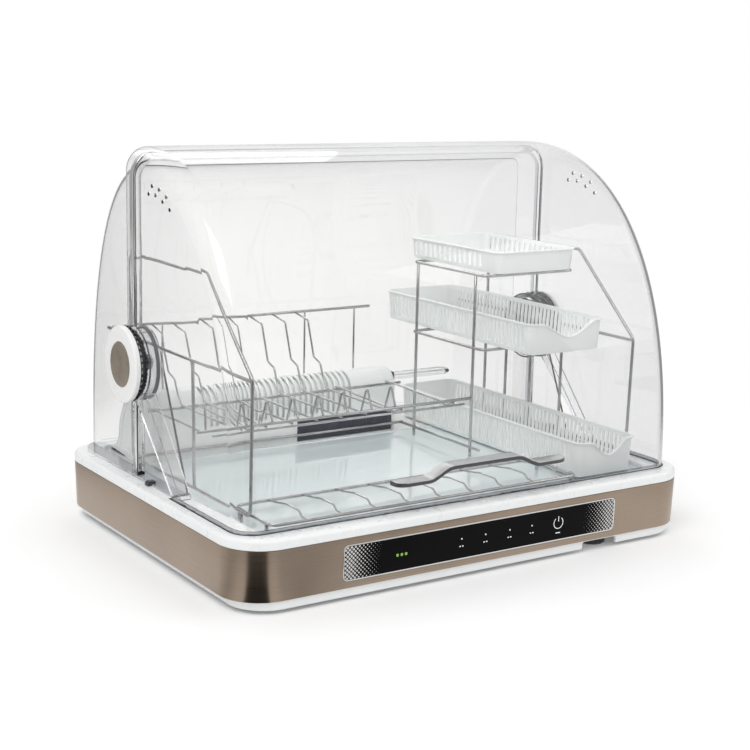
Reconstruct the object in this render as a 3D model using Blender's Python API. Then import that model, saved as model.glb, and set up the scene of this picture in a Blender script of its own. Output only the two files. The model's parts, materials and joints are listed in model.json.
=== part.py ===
# Counter-top cabinet that dries dishes and treats them with ultraviolet light.
# Metres, +Z up, front towards -Y. The origin lies under the middle of the base, on the table.
import math

import bmesh
import bpy
from mathutils import Matrix, Vector

# Clearances and fineness that all pieces share
gap = 0.0003
overrun = 0.008
weld_sink = 0.0006
corner_steps = 4
arch_corner_steps = 3
arch_steps = 14
round_sides = 24
wire_sides = 6
thin_wire_sides = 5

# Base: overall footprint, steel band, underside pan and feet
base_half_x = 0.280
base_half_y = 0.20875
base_corner = 0.045
band_height = 0.050
band_sheet = 0.001
band_taper = 0.0015
band_step = 0.0005
foot_radius = 0.015
foot_height = 0.0122
foot_edge = 0.0015
foot_inset_x = 0.115
foot_inset_y = 0.03075
pan_wall = 0.0025
pan_floor = 0.0025
skirt_inset_x = 0.009
skirt_inset_y = 0.00325
skirt_height = 0.0085
skirt_wall = 0.003
notch_centre_x = 0.1525
notch_width = 0.047
gland_x = 0.200
gland_rise = 0.022
gland_flange = 0.010
gland_flange_thick = 0.0012
gland_body = 0.0068
gland_bore = 0.0035
gland_length = 0.012

# Control panel in the front of the band
window_half_x = 0.170
window_height = 0.037
window_rise = 0.0065
window_corner = 0.006
pan_window_margin = 0.002
bezel_ring = 0.0016
bezel_proud = 0.0002
bezel_depth = 0.0042
bezel_ledge = 0.0015
glass_proud = 0.0001
glass_thick = 0.0022
board_thick = 0.0016
board_margin = 0.0012
chip_half_x = 0.012
chip_half_z = 0.007
chip_thick = 0.003
chip_pitch = 0.075

# Deck: white rim on the base with the seal groove and the well
deck_height = 0.010
deck_round = 0.004
deck_step = 0.001
plug_depth = 0.0053
plug_clear = 0.0018
well_inset_x = 0.0365
well_front_inset = 0.02975
well_rear_inset = 0.01775
well_corner = 0.020
plateau_depth = 0.0061
ledge_depth = 0.0081
ledge_width = 0.0115
opening_corner = 0.014
well_split_clear = 0.002
tray_wall = 0.002
tray_rim_drop = 0.0044

# Clear shells: heights are over the deck's top
cover_inset_x = 0.0125
cover_front_inset = 0.02075
cover_wall = 0.0025
cover_corner = 0.024
cover_height = 0.3402
cover_power = 2.3
cover_centre_y = 0.056
cover_rear_over = 0.001
cover_lift = 0.0004
seal_depth = 0.0028
seal_stand = 0.0001
bead_size = 0.004
groove_slack = 0.0014
groove_rear_y = -0.038
shell_inset_x = 0.032
shell_rear_inset = 0.00375
shell_wall = 0.0025
shell_corner = 0.012
shell_height = 0.3222
shell_power = 2.4
shell_centre_y = 0.058
rim_front_y = 0.047
rim_depth = 0.010
rim_reach = 0.0145
rim_thick = 0.009
flare_depth = 0.030
flange_thick = 0.0024
flange_width = 0.016
flange_corner = 0.040
cheek_inset = 0.0001

# Pivot of the cover
pivot_y = 0.054
pivot_height = 0.1197
boss_radius = 0.0375
boss_reach = 0.0125
boss_wall = 0.003
boss_web = 0.0025
pin_radius = 0.005
pin_head_radius = 0.008
pin_head_thick = 0.003
hub_radius = 0.009
ear_radius = 0.0395
hub_hole = 0.035
ring_teeth = 16
tooth_depth = 0.0025
ring_width = 0.0086
cap_thick = 0.008
cap_radius = 0.040
cap_skirt = 0.0044
cap_edge = 0.0022
badge_radius = 0.024
badge_recess = 0.0011
badge_thick = 0.0012
magnet_radius = 0.004
magnet_thick = 0.0027
magnet_offset = 0.020
sensor_width = 0.012
sensor_depth = 0.0077

# Side edge of the cover, grip strip and vent holes
edge_top_y = 0.041
edge_foot_y = -0.0425
edge_foot_rise = 0.003
edge_top_drop = 0.0338
lip_top_y = 0.005
lip_foot_y = -0.0735
lip_top_drop = 0.027
lip_reach = 0.011
lip_sheet = 0.0025
vent_count = 4
vent_radius = 0.0025
vent_pitch = 0.0135
vent_rear_y = 0.020
vent_drop = 0.030
handle_half_length = 0.105
handle_flat = 0.038
handle_slope = 0.032
handle_low = 0.0307
handle_rise = 0.0105
handle_thick = 0.0045
handle_reach = 0.0165
handle_edge = 0.0012
handle_taper = 0.012
clip_front_y = 0.009
clip_length = 0.008
clip_width = 0.004
clip_height = 0.0044
clip_hook = 0.0045
clip_hook_thick = 0.002

# Rear housing with blower, heater and lamp
housing_left_inset = 0.051
housing_right_inset = 0.178
housing_front_inset = 0.09875
housing_front_height = 0.0535
housing_round = 0.022
housing_back = 0.0585
housing_wall = 0.0022
housing_end_round = 0.004
louvre_left_margin = 0.079
louvre_right_margin = 0.065
louvre_pitch = 0.0089
louvre_width = 0.0048
louvre_low = 0.0325
grille_margin = 0.005
grille_length = 0.131
grille_low = 0.002
grille_height = 0.0265
grille_frame = 0.0025
grille_thick = 0.0028
grille_pitch = 0.0115
grille_bar = 0.0018
fan_setback = 0.035
fan_rise = 0.0305
fan_radius = 0.017
fan_margin = 0.016
fan_length = 0.108
fan_disc = 0.0015
fan_blades = 12
blade_depth = 0.0045
blade_thick = 0.0012
shaft_radius = 0.0025
motor_radius = 0.0155
motor_length = 0.040
motor_edge = 0.002
cradle_thick = 0.0025
cradle_half_depth = 0.012
post_width = 0.006
post_half_depth = 0.007
heater_margin = 0.018
heater_length = 0.104
heater_setback = 0.0035
heater_depth = 0.009
heater_low = 0.004
heater_height = 0.024
heater_frame = 0.003
heater_pitch = 0.013
heater_fin = 0.0025
lamp_radius = 0.0046
lamp_reach = 0.085
lamp_rise = 0.0605
lamp_setback = 0.021
lamp_leg_pitch = 0.014
lamp_seat = 0.003
holder_length = 0.0057
holder_margin = 0.0035
holder_edge = 0.0015

# Electronics in the base
ballast_x = -0.080
ballast_y = -0.030
ballast_half_x = 0.045
ballast_half_y = 0.028
ballast_height = 0.024
ballast_lid = 0.002
ballast_fins = 6
ballast_fin_height = 0.006

# Wire racks
frame_wire = 0.00175
cross_wire = 0.0011
stand_inset_x = 0.0095
stand_low = 0.0105
stand_top = 0.2305
stand_rear_inset = 0.09675
stand_peak_y = -0.054
stand_front_inset = 0.05875
stand_lean = 0.003
stand_shoulder = 0.1435
stand_bend = 0.009
mid_rail_height = 0.1415
mid_rail_inset = 0.03275
rod_y = -0.0315
stand_foot_rear_setback = 0.024
stand_foot_front_setback = 0.022
plate_floor = 0.064
plate_first_share = 0.1494
plate_pitch_share = 0.08866
plate_count = 7
plate_right_clear = 0.003
rack_clear = 0.0097
cross_tail = 0.004
vee_height = 0.025
vee_width = 0.014
lower_wire = 0.0013
post_shares = (0.1962, 0.7253, 0.9273)
saucer_front_inset = 0.02775
saucer_depth = 0.075
saucer_right_clear = 0.009
saucer_first_share = 0.1008
saucer_pitch_share = 0.1056
saucer_count = 9
saucer_rise = 0.006
tower_inset = 0.172
tower_rear_y = 0.088
tower_front_y = -0.049
tower_top = 0.2062
tower_mid = 0.1242
tower_rear_right_y = 0.066
tower_front_right_y = 0.020
tower_tie_clear = 0.0025

# Baskets
basket_wall = 0.0016
basket_lip = 0.0022
basket_lip_thick = 0.0016
basket_draft = 0.002
basket_corner = 0.012
scoop_depth = 0.016
slot_pitch = 0.0135
slot_width = 0.0055
slot_margin = 0.007
slot_end_margin = 0.018
drain_pitch = 0.036
drain_width = 0.004
basket_right_clear = 0.0024
basket_top_offset = 0.007
basket_top_front_y = -0.060
basket_top_rear_y = 0.115
basket_top_height = 0.0245
basket_middle_offset = 0.016
basket_middle_front_y = -0.112
basket_middle_rear_inset = 0.03275
basket_middle_height = 0.0345
basket_bottom_offset = 0.038
basket_bottom_front_inset = 0.03475
basket_bottom_rear_inset = 0.03675
basket_bottom_height = 0.039
basket_foot = 0.008

# Heights that follow from the sizes above
pan_bottom = foot_height + gap
pan_top_of_floor = pan_bottom + pan_floor
band_bottom = pan_bottom + band_step
band_top = band_bottom + band_height
deck_bottom = band_top + gap
deck_top = deck_bottom + deck_height
plateau_top = deck_top - plateau_depth
tray_ledge_top = deck_top - ledge_depth
tray_floor_top = tray_ledge_top + gap + tray_wall
pivot_z = deck_top + pivot_height
cover_half_x = base_half_x - cover_inset_x
cover_front_y = cover_front_inset - base_half_y
cover_bottom = deck_top + cover_lift
shell_half_x = base_half_x - shell_inset_x
shell_rear_y = base_half_y - shell_rear_inset
flange_bottom = deck_top - deck_step + gap
flange_top = flange_bottom + flange_thick
boss_face_x = shell_half_x + boss_reach
ring_inner_x = boss_face_x + 2 * gap
ring_outer_x = ring_inner_x + ring_width
cap_inner_x = ring_outer_x + gap
cap_outer_x = cap_inner_x + cap_thick
housing_bottom = plateau_top + gap
housing_left_x = housing_left_inset - base_half_x
housing_right_x = base_half_x - housing_right_inset
housing_front_y = base_half_y - housing_front_inset
well_split_y = housing_front_y - well_split_clear
louvre_first_x = housing_left_x + louvre_left_margin
louvre_last_x = housing_right_x - louvre_right_margin
grille_right_x = housing_right_x - grille_margin
grille_left_x = grille_right_x - grille_length
fan_y = housing_front_y + fan_setback
fan_right_x = housing_right_x - fan_margin
fan_left_x = fan_right_x - fan_length
heater_right_x = housing_right_x - heater_margin
heater_left_x = heater_right_x - heater_length
heater_front_y = housing_front_y + heater_setback
lamp_front_y = housing_front_y + lamp_setback
stand_x = shell_half_x - shell_wall - stand_inset_x
stand_rear_y = base_half_y - stand_rear_inset
stand_front_y = stand_front_inset - base_half_y
mid_rail_rear_y = base_half_y - mid_rail_inset
tower_x = base_half_x - tower_inset
tower_tie_y = housing_front_y - tower_tie_clear
rack_span = tower_x + stand_x
plate_left_x = rack_span * plate_first_share - stand_x
plate_pitch = rack_span * plate_pitch_share
plate_right_x = tower_x - plate_right_clear
rack_left_x = 2 * frame_wire + gap - stand_x
support_y = housing_front_y - rack_clear
basket_top_left_x = tower_x + basket_top_offset
basket_middle_left_x = tower_x + basket_middle_offset
basket_bottom_left_x = tower_x + basket_bottom_offset
basket_middle_rear_y = base_half_y - basket_middle_rear_inset
basket_bottom_front_y = basket_bottom_front_inset - base_half_y
basket_bottom_rear_y = base_half_y - basket_bottom_rear_inset
saucer_front_y = saucer_front_inset - base_half_y
saucer_rear_y = saucer_front_y + saucer_depth
saucer_right_x = basket_bottom_left_x - saucer_right_clear
plate_floor_z = tray_floor_top + plate_floor
rack_low_z = tray_floor_top + stand_low

root_empty = None


# Shape tools
def clear_scene():
    for item in list(bpy.data.objects):
        bpy.data.objects.remove(item, do_unlink=True)


def make_material(name, colour, roughness, metallic=0.0, transmission=0.0):
    material = bpy.data.materials.new(name)
    material.use_nodes = True
    shader = material.node_tree.nodes["Principled BSDF"]
    shader.inputs["Base Color"].default_value = (colour[0], colour[1], colour[2], 1.0)
    shader.inputs["Roughness"].default_value = roughness
    shader.inputs["Metallic"].default_value = metallic
    shader.inputs["Transmission Weight"].default_value = transmission
    return material


def solid(name, points, faces):
    mesh = bpy.data.meshes.new(name)
    shape = bmesh.new()
    corners = [shape.verts.new(point) for point in points]
    for face in faces:
        shape.faces.new([corners[index] for index in face])
    bmesh.ops.recalc_face_normals(shape, faces=shape.faces)
    shape.to_mesh(mesh)
    shape.free()
    item = bpy.data.objects.new(name, mesh)
    bpy.context.scene.collection.objects.link(item)
    return item


def loft(name, rings, closed=False):
    """Skin through rings of equal count; the ends are capped unless the rings close on themselves."""
    count = len(rings[0])
    points = [point for ring in rings for point in ring]
    faces = []
    spans = len(rings) if closed else len(rings) - 1
    for row in range(spans):
        low = row * count
        high = ((row + 1) % len(rings)) * count
        for index in range(count):
            after = (index + 1) % count
            faces.append((low + index, low + after, high + after, high + index))
    if not closed:
        faces.append(tuple(range(count)))
        faces.append(tuple(range((len(rings) - 1) * count, len(rings) * count)))
    return solid(name, points, faces)


def along(axis, first, second, depth):
    if axis == "X":
        return (depth, first, second)
    if axis == "Y":
        return (first, depth, second)
    return (first, second, depth)


def prism(name, outline, axis, low, high):
    return loft(name, [[along(axis, a, b, low) for a, b in outline], [along(axis, a, b, high) for a, b in outline]])


def strip(name, outer, inner, low, high):
    """Open U-shaped strip between two lines of equal count."""
    count = len(outer)
    points = []
    for line in (outer, inner):
        for level in (low, high):
            points += [(x, y, level) for x, y in line]
    outer_low, outer_high, inner_low, inner_high = 0, count, 2 * count, 3 * count
    faces = []
    for index in range(count - 1):
        after = index + 1
        faces.append((outer_low + index, outer_low + after, outer_high + after, outer_high + index))
        faces.append((inner_low + index, inner_low + after, inner_high + after, inner_high + index))
        faces.append((outer_low + index, outer_low + after, inner_low + after, inner_low + index))
        faces.append((outer_high + index, outer_high + after, inner_high + after, inner_high + index))
    for index in (0, count - 1):
        faces.append((outer_low + index, outer_high + index, inner_high + index, inner_low + index))
    return solid(name, points, faces)


def block(name, low, high):
    outline = ((low[0], low[1]), (high[0], low[1]), (high[0], high[1]), (low[0], high[1]))
    return prism(name, outline, "Z", low[2], high[2])


def circle(centre_a, centre_b, radius, sides, start=0.0):
    turn = 2 * math.pi / sides
    return [(centre_a + radius * math.cos(start + turn * i), centre_b + radius * math.sin(start + turn * i))
            for i in range(sides)]


def turned(name, profile, axis, centre_a, centre_b, sides=round_sides):
    """Body of revolution; profile lists (radius, place along the axis) and may start and end on the axis."""
    points = []
    rows = []
    turn = 2 * math.pi / sides
    for radius, depth in profile:
        if radius == 0:
            rows.append([len(points)])
            points.append(along(axis, centre_a, centre_b, depth))
        else:
            rows.append(list(range(len(points), len(points) + sides)))
            points += [along(axis, a, b, depth) for a, b in circle(centre_a, centre_b, radius, sides, turn / 2)]
    faces = []
    closed = profile[0][0] != 0
    for row in range(len(rows) if closed else len(rows) - 1):
        low = rows[row]
        high = rows[(row + 1) % len(rows)]
        for index in range(sides):
            after = (index + 1) % sides
            if len(low) == 1 and len(high) == 1:
                continue
            if len(low) == 1:
                faces.append((low[0], high[index], high[after]))
            elif len(high) == 1:
                faces.append((low[index], low[after], high[0]))
            else:
                faces.append((low[index], low[after], high[after], high[index]))
    return solid(name, points, faces)


def rounded_rect(x0, x1, y0, y1, front_radius, rear_radius=None, steps=corner_steps):
    """Closed outline, counter-clockwise from the front right corner."""
    rear_radius = front_radius if rear_radius is None else rear_radius
    quarter = math.pi / 2
    corners = ((x1 - front_radius, y0 + front_radius, front_radius, -quarter),
               (x1 - rear_radius, y1 - rear_radius, rear_radius, 0.0),
               (x0 + rear_radius, y1 - rear_radius, rear_radius, quarter),
               (x0 + front_radius, y0 + front_radius, front_radius, 2 * quarter))
    outline = []
    for centre_x, centre_y, radius, start in corners:
        for step in range(steps + 1):
            angle = start + quarter * step / steps
            outline.append((centre_x + radius * math.cos(angle), centre_y + radius * math.sin(angle)))
    return outline


def rect_ring(half_x, half_y, radius, height, steps=corner_steps):
    return [(x, y, height) for x, y in rounded_rect(-half_x, half_x, -half_y, half_y, radius, steps=steps)]


def u_line(half_x, open_y, closed_y, radius, steps=corner_steps):
    """Open line from the right leg round the closed side to the left leg."""
    side = 1.0 if closed_y > open_y else -1.0
    line = [(half_x, open_y)]
    for sign in (1.0, -1.0):
        for step in range(steps + 1):
            angle = math.pi / 2 * (step / steps if sign > 0 else 1.0 - step / steps)
            line.append((sign * (half_x - radius + radius * math.cos(angle)),
                         closed_y + side * radius * (math.sin(angle) - 1.0)))
    line.append((-half_x, open_y))
    return line


def fillet(points, radius, steps=2):
    """Path with its inner corners rounded."""
    places = [Vector(point) for point in points]
    path = [places[0]]
    for before, corner, after in zip(places, places[1:], places[2:]):
        inward = (before - corner)
        outward = (after - corner)
        half_angle = inward.angle(outward) / 2
        reach = min(radius / math.tan(half_angle), inward.length / 2.2, outward.length / 2.2)
        start = corner + inward.normalized() * reach
        end = corner + outward.normalized() * reach
        for step in range(steps + 1):
            share = step / steps
            path.append(start.lerp(corner, share).lerp(corner.lerp(end, share), share))
    path.append(places[-1])
    return path


def tube(name, points, radius, sides=wire_sides, closed=False):
    """Round wire along a path with mitred bends."""
    places = [Vector(point) for point in points]
    count = len(places)
    spans = [(places[(i + 1) % count] - places[i]).normalized() for i in range(count if closed else count - 1)]
    start = spans[0]
    guide = Vector((0.0, 0.0, 1.0)) if abs(start.z) < 0.9 else Vector((1.0, 0.0, 0.0))
    side = start.cross(guide).normalized()
    rings = []
    for index in range(count):
        incoming = spans[index - 1] if (index > 0 or closed) else spans[0]
        outgoing = spans[index] if index < len(spans) else spans[-1]
        if index > 0:
            side = spans[index - 2 if index > 1 else 0].rotation_difference(incoming) @ side if index > 1 else side
        frame = incoming if index > 0 else outgoing
        across = frame.cross(side).normalized()
        mitre = (incoming + outgoing).normalized()
        ring = []
        for turn in range(sides):
            angle = 2 * math.pi * (turn + 0.5) / sides
            offset = radius * (math.cos(angle) * side + math.sin(angle) * across)
            offset = offset - frame * (offset.dot(mitre) / frame.dot(mitre))
            ring.append(places[index] + offset)
        rings.append(ring)
    return loft(name, rings, closed)


def combine(target, tools, operation):
    """Apply one exact Boolean with all tools and remove them."""
    group = bpy.data.collections.new("tools")
    bpy.context.scene.collection.children.link(group)
    for tool in tools:
        bpy.context.scene.collection.objects.unlink(tool)
        group.objects.link(tool)
    modifier = target.modifiers.new("combine", "BOOLEAN")
    modifier.operation = operation
    modifier.solver = "EXACT"
    modifier.operand_type = "COLLECTION"
    modifier.collection = group
    graph = bpy.context.evaluated_depsgraph_get()
    result = bpy.data.meshes.new_from_object(target.evaluated_get(graph))
    target.modifiers.clear()
    old = target.data
    target.data = result
    bpy.data.meshes.remove(old)
    for tool in list(group.objects):
        bpy.data.objects.remove(tool, do_unlink=True)
    bpy.data.collections.remove(group)
    return target


def fuse(target, tools):
    return combine(target, tools, "UNION")


def cut(target, tools):
    return combine(target, tools, "DIFFERENCE")


def finish(item, name, material, origin=(0.0, 0.0, 0.0), parent=None, smooth_angle=35.0):
    """Name the piece, give it its material and origin, and shade its round faces smooth."""
    item.name = name
    mesh = item.data
    mesh.name = name
    mesh.materials.clear()
    mesh.materials.append(material)
    for face in mesh.polygons:
        face.material_index = 0
    place = Vector(origin)
    mesh.transform(Matrix.Translation(-place))
    item.location = place
    mesh.shade_smooth()
    mesh.set_sharp_from_angle(angle=math.radians(smooth_angle))
    if parent is not None:
        item.parent = parent
        item.location = place - parent.location
    return item


def empty(name, place):
    item = bpy.data.objects.new(name, None)
    item.location = place
    item.empty_display_size = base_corner
    bpy.context.scene.collection.objects.link(item)
    return item


# Curves that several pieces follow
def superellipse(centre_y, centre_z, half_y, half_z, power, side, foot_z, end_y, steps=arch_steps):
    """Arch line from the foot to end_y as (y, z, outward y, outward z)."""
    points = [(centre_y + side * half_y, foot_z, side, 0.0)]
    past_top = (end_y - centre_y) * side <= 0
    last = math.pi / 2
    if not past_top:
        last = math.acos(((end_y - centre_y) * side / half_y) ** (power / 2))
    for step in range(1, steps + (0 if past_top else 1)):
        angle = last * step / steps
        across = math.cos(angle) ** (2 / power)
        up = math.sin(angle) ** (2 / power)
        slope_y = side * across ** (power - 1) / half_y
        slope_z = up ** (power - 1) / half_z
        length = math.hypot(slope_y, slope_z)
        points.append((centre_y + side * half_y * across, centre_z + half_z * up, slope_y / length, slope_z / length))
    if past_top:
        points.append((centre_y, centre_z + half_z, 0.0, 1.0))
        if end_y != centre_y:
            points.append((end_y, centre_z + half_z, 0.0, 1.0))
    return points


def side_stations(half_x, radius, wall, steps=arch_corner_steps):
    """Places along X with the inset of the arch line there, from the left side to the right."""
    round_radius = radius - wall
    stations = []
    for step in range(steps + 1):
        angle = math.pi / 2 * step / steps
        stations.append((half_x - wall - round_radius * (1.0 - math.sin(angle)),
                         wall + round_radius * (1.0 - math.cos(angle))))
    return [(-x, inset) for x, inset in reversed(stations)] + stations


def arch_block(name, line, stations, end_y, bottom_z):
    """Solid under an arch line, with its inset at each station, closed at end_y and bottom_z."""
    rings = []
    for x, inset in stations:
        ring = [(x, y - inset * out_y, z - inset * out_z) for y, z, out_y, out_z in line]
        ring[0] = (x, ring[0][1], bottom_z)
        ring[-1] = (x, end_y, ring[-1][2])
        ring.append((x, end_y, bottom_z))
        rings.append(ring)
    return loft(name, rings)


def tangent_from(place, centre, radius, turn):
    """Point where a line from place touches the circle; turn picks the side."""
    reach = Vector(centre) - Vector(place)
    angle = math.asin(radius / reach.length) * turn
    length = math.sqrt(reach.length ** 2 - radius ** 2)
    heading = Matrix.Rotation(angle, 2) @ reach.normalized()
    touch = Vector(place) + heading * length
    return (touch.x, touch.y)


# Base group
def band_half(height, inset=0.0):
    """Half sizes and corner of the band's outside at a height, moved inward by inset."""
    lean = band_taper * (band_top - height) / band_height + inset
    return base_half_x - lean, base_half_y - lean, base_corner - lean


def band_ring(height, inset):
    half_x, half_y, radius = band_half(height, inset)
    return rect_ring(half_x, half_y, radius, height)


def panel_frame():
    """Middle of the panel on the band's front, and the lean of the band there."""
    height = band_bottom + window_rise + window_height / 2
    lean = math.atan(band_taper / band_height)
    return Vector((0.0, -band_half(height)[1], height)), -lean


def lean_back(item):
    """Stand a piece modelled about the panel's middle on the leaning band."""
    place, lean = panel_frame()
    item.location = place
    item.rotation_euler = (lean, 0.0, 0.0)
    bpy.context.view_layer.update()
    return item


def window_outline(grow):
    half_x = window_half_x + grow
    half_z = window_height / 2 + grow
    return rounded_rect(-half_x, half_x, -half_z, half_z, window_corner + grow, steps=3)


def window_cutter(name, grow):
    return lean_back(prism(name, window_outline(grow), "Y", -overrun, overrun))


def build_feet(material):
    for front, y_sign in (("front", -1.0), ("rear", 1.0)):
        for side, x_sign in (("left", -1.0), ("right", 1.0)):
            x = x_sign * (base_half_x - foot_inset_x)
            y = y_sign * (base_half_y - foot_inset_y)
            profile = ((0.0, 0.0), (foot_radius - foot_edge, 0.0), (foot_radius, foot_edge),
                       (foot_radius - foot_edge, foot_height), (0.0, foot_height))
            foot = turned("foot", profile, "Z", x, y, 16)
            finish(foot, "foot_" + front + "_" + side, material, (x, y, 0.0))


def build_base_tray(material):
    skirt_half_x = base_half_x - skirt_inset_x
    skirt_half_y = base_half_y - skirt_inset_y
    skirt_radius = base_corner - skirt_inset_x + skirt_inset_y
    skirt_bottom = pan_bottom - skirt_height
    seat = band_sheet + gap
    inner = seat + pan_wall
    rings = [rect_ring(skirt_half_x - skirt_wall, skirt_half_y - skirt_wall, skirt_radius - skirt_wall, pan_bottom),
             rect_ring(skirt_half_x - skirt_wall, skirt_half_y - skirt_wall, skirt_radius - skirt_wall, skirt_bottom),
             rect_ring(skirt_half_x, skirt_half_y, skirt_radius, skirt_bottom),
             rect_ring(skirt_half_x, skirt_half_y, skirt_radius, pan_bottom)]
    for height, inset in ((pan_bottom, seat), (band_top, seat), (band_top, inner), (pan_top_of_floor, inner)):
        rings.append(band_ring(height, inset))
    pan = loft("pan", rings)
    notch_low = (notch_centre_x - notch_width / 2, -base_half_y, skirt_bottom - overrun)
    notch_high = (notch_centre_x + notch_width / 2, overrun - skirt_half_y, pan_bottom)
    gland_hole = prism("hole", circle(gland_x, band_bottom + gland_rise, gland_body + gap * 2, 12), "Y",
                       base_half_y - overrun, base_half_y + overrun)
    cut(pan, [window_cutter("window", pan_window_margin), block("notch", notch_low, notch_high), gland_hole])
    return finish(pan, "base_tray", material)


def build_band(material):
    rings = [band_ring(band_bottom, 0.0), band_ring(band_top, 0.0),
             band_ring(band_top, band_sheet), band_ring(band_bottom, band_sheet)]
    band = loft("band", rings, closed=True)
    gland_hole = prism("hole", circle(gland_x, band_bottom + gland_rise, gland_flange + gap * 2, 12), "Y",
                       base_half_y - overrun, base_half_y + overrun)
    cut(band, [window_cutter("window", 0.0), gland_hole])
    return finish(band, "metal_band", material)


def build_panel(bezel_material, glass_material, board_material):
    outer = window_outline(-gap)
    glass_hole = window_outline(-gap - bezel_ring)
    ledge = window_outline(-gap - bezel_ring - bezel_ledge)
    glass_back = glass_thick - glass_proud
    levels = ((outer, -bezel_proud), (outer, bezel_depth), (ledge, bezel_depth),
              (ledge, glass_back + gap), (glass_hole, glass_back + gap), (glass_hole, -bezel_proud))
    rings = [[(x, depth, z) for x, z in outline] for outline, depth in levels]
    bezel = lean_back(loft("bezel", rings, closed=True))
    keep_place(bezel, "panel_bezel", bezel_material)
    glass_outline = window_outline(-2 * gap - bezel_ring)
    glass = lean_back(prism("glass", glass_outline, "Y", -glass_proud, glass_back))
    keep_place(glass, "control_panel", glass_material)
    board_front = bezel_depth + gap
    board = prism("board", window_outline(-board_margin), "Y", board_front, board_front + board_thick)
    chips = []
    for share in (-2.0, -1.0, 0.0, 1.0, 2.0):
        low = (chip_pitch * share - chip_half_x, board_front + board_thick / 2, -chip_half_z)
        high = (chip_pitch * share + chip_half_x, board_front + board_thick + chip_thick, chip_half_z)
        chips.append(block("chip", low, high))
    fuse(board, chips)
    keep_place(lean_back(board), "control_board", board_material)


def keep_place(item, name, material):
    """Finish a piece whose own location and rotation stay as they are."""
    place = item.location.copy()
    finish(item, name, material)
    item.location = place


def build_gland(material):
    z = band_bottom + gland_rise
    face_y = band_half(z, band_sheet + gap)[1]
    flange_y = face_y + gap * 2
    profile = ((gland_bore, flange_y + gland_flange_thick), (gland_flange, flange_y + gland_flange_thick),
               (gland_flange, flange_y), (gland_body, flange_y),
               (gland_body, flange_y - gland_length), (gland_bore, flange_y - gland_length))
    gland = turned("gland", profile, "Y", gland_x, z, 12)
    return finish(gland, "cord_gland", material, (gland_x, face_y, z))


def build_ballast(material):
    low_z = pan_top_of_floor + gap
    case = block("case", (ballast_x - ballast_half_x, ballast_y - ballast_half_y, low_z),
                 (ballast_x + ballast_half_x, ballast_y + ballast_half_y, low_z + ballast_height))
    fins = []
    fin_pitch = 2 * ballast_half_x / ballast_fins
    for index in range(ballast_fins):
        x = ballast_x - ballast_half_x + fin_pitch * (index + 0.5)
        fins.append(block("fin", (x - ballast_lid / 2, ballast_y - ballast_half_y + ballast_lid,
                                  low_z + ballast_height - ballast_lid),
                          (x + ballast_lid / 2, ballast_y + ballast_half_y - ballast_lid,
                           low_z + ballast_height + ballast_fin_height)))
    fuse(case, fins)
    return finish(case, "lamp_ballast", material, (ballast_x, ballast_y, low_z))


def build_deck(material):
    plug_half_x = band_half(band_top, band_sheet + gap + pan_wall + plug_clear)[0]
    plug_half_y = band_half(band_top, band_sheet + gap + pan_wall + plug_clear)[1]
    plug_radius = band_half(band_top, band_sheet + gap + pan_wall + plug_clear)[2]
    plug_bottom = deck_bottom - plug_depth
    rings = [rect_ring(plug_half_x, plug_half_y, plug_radius, plug_bottom),
             rect_ring(plug_half_x, plug_half_y, plug_radius, deck_bottom),
             rect_ring(base_half_x, base_half_y, base_corner, deck_bottom)]
    for step in range(4):
        angle = math.pi / 2 * step / 3
        inset = deck_round * (1.0 - math.cos(angle))
        rings.append(rect_ring(base_half_x - inset, base_half_y - inset, base_corner - inset,
                               deck_top - deck_round + deck_round * math.sin(angle)))
    deck = loft("deck", rings)
    well_half_x = base_half_x - well_inset_x
    well_front = well_front_inset - base_half_y
    well_rear = base_half_y - well_rear_inset
    above = deck_top + overrun
    well = prism("well", rounded_rect(-well_half_x, well_half_x, well_front, well_rear, well_corner),
                 "Z", plateau_top, above)
    tray_seat = prism("seat", rounded_rect(-well_half_x, well_half_x, well_front, well_split_y,
                                           well_corner, gap * 10), "Z", tray_ledge_top, above)
    hole = prism("hole", rounded_rect(ledge_width - well_half_x, well_half_x - ledge_width,
                                      well_front + ledge_width, well_split_y - ledge_width, opening_corner),
                 "Z", plug_bottom - overrun, above)
    groove_outer = cover_half_x + groove_slack + gap
    groove_width = bead_size + 2 * groove_slack + gap
    groove_front = cover_front_y - groove_slack - gap
    groove_corner = cover_corner + groove_slack + gap
    outer = u_line(groove_outer, groove_rear_y, groove_front, groove_corner)
    inner = u_line(groove_outer - groove_width, groove_rear_y, groove_front + groove_width,
                   groove_corner - groove_width)
    groove = strip("groove", outer, inner, deck_top - seal_depth - gap, above)
    flat_half_x = shell_half_x + flange_width + gap
    flat_front = groove_front + groove_width / 2
    flat = prism("flat", rounded_rect(-flat_half_x, flat_half_x, flat_front, base_half_y + overrun,
                                      groove_corner - groove_width / 2, gap * 10), "Z", deck_top - deck_step, above)
    cut(deck, [well])
    cut(deck, [tray_seat])
    cut(deck, [hole])
    cut(deck, [flat])
    cut(deck, [groove])
    return finish(deck, "deck", material)


def build_seal(material):
    half_x = cover_half_x + groove_slack
    width = bead_size + 2 * groove_slack - gap
    front = cover_front_y - groove_slack
    corner = cover_corner + groove_slack
    outer = u_line(half_x, groove_rear_y - gap, front, corner)
    inner = u_line(half_x - width, groove_rear_y - gap, front + width, corner - width)
    seal = strip("seal", outer, inner, deck_top - seal_depth, deck_top + seal_stand)
    return finish(seal, "cover_seal", material)


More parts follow.
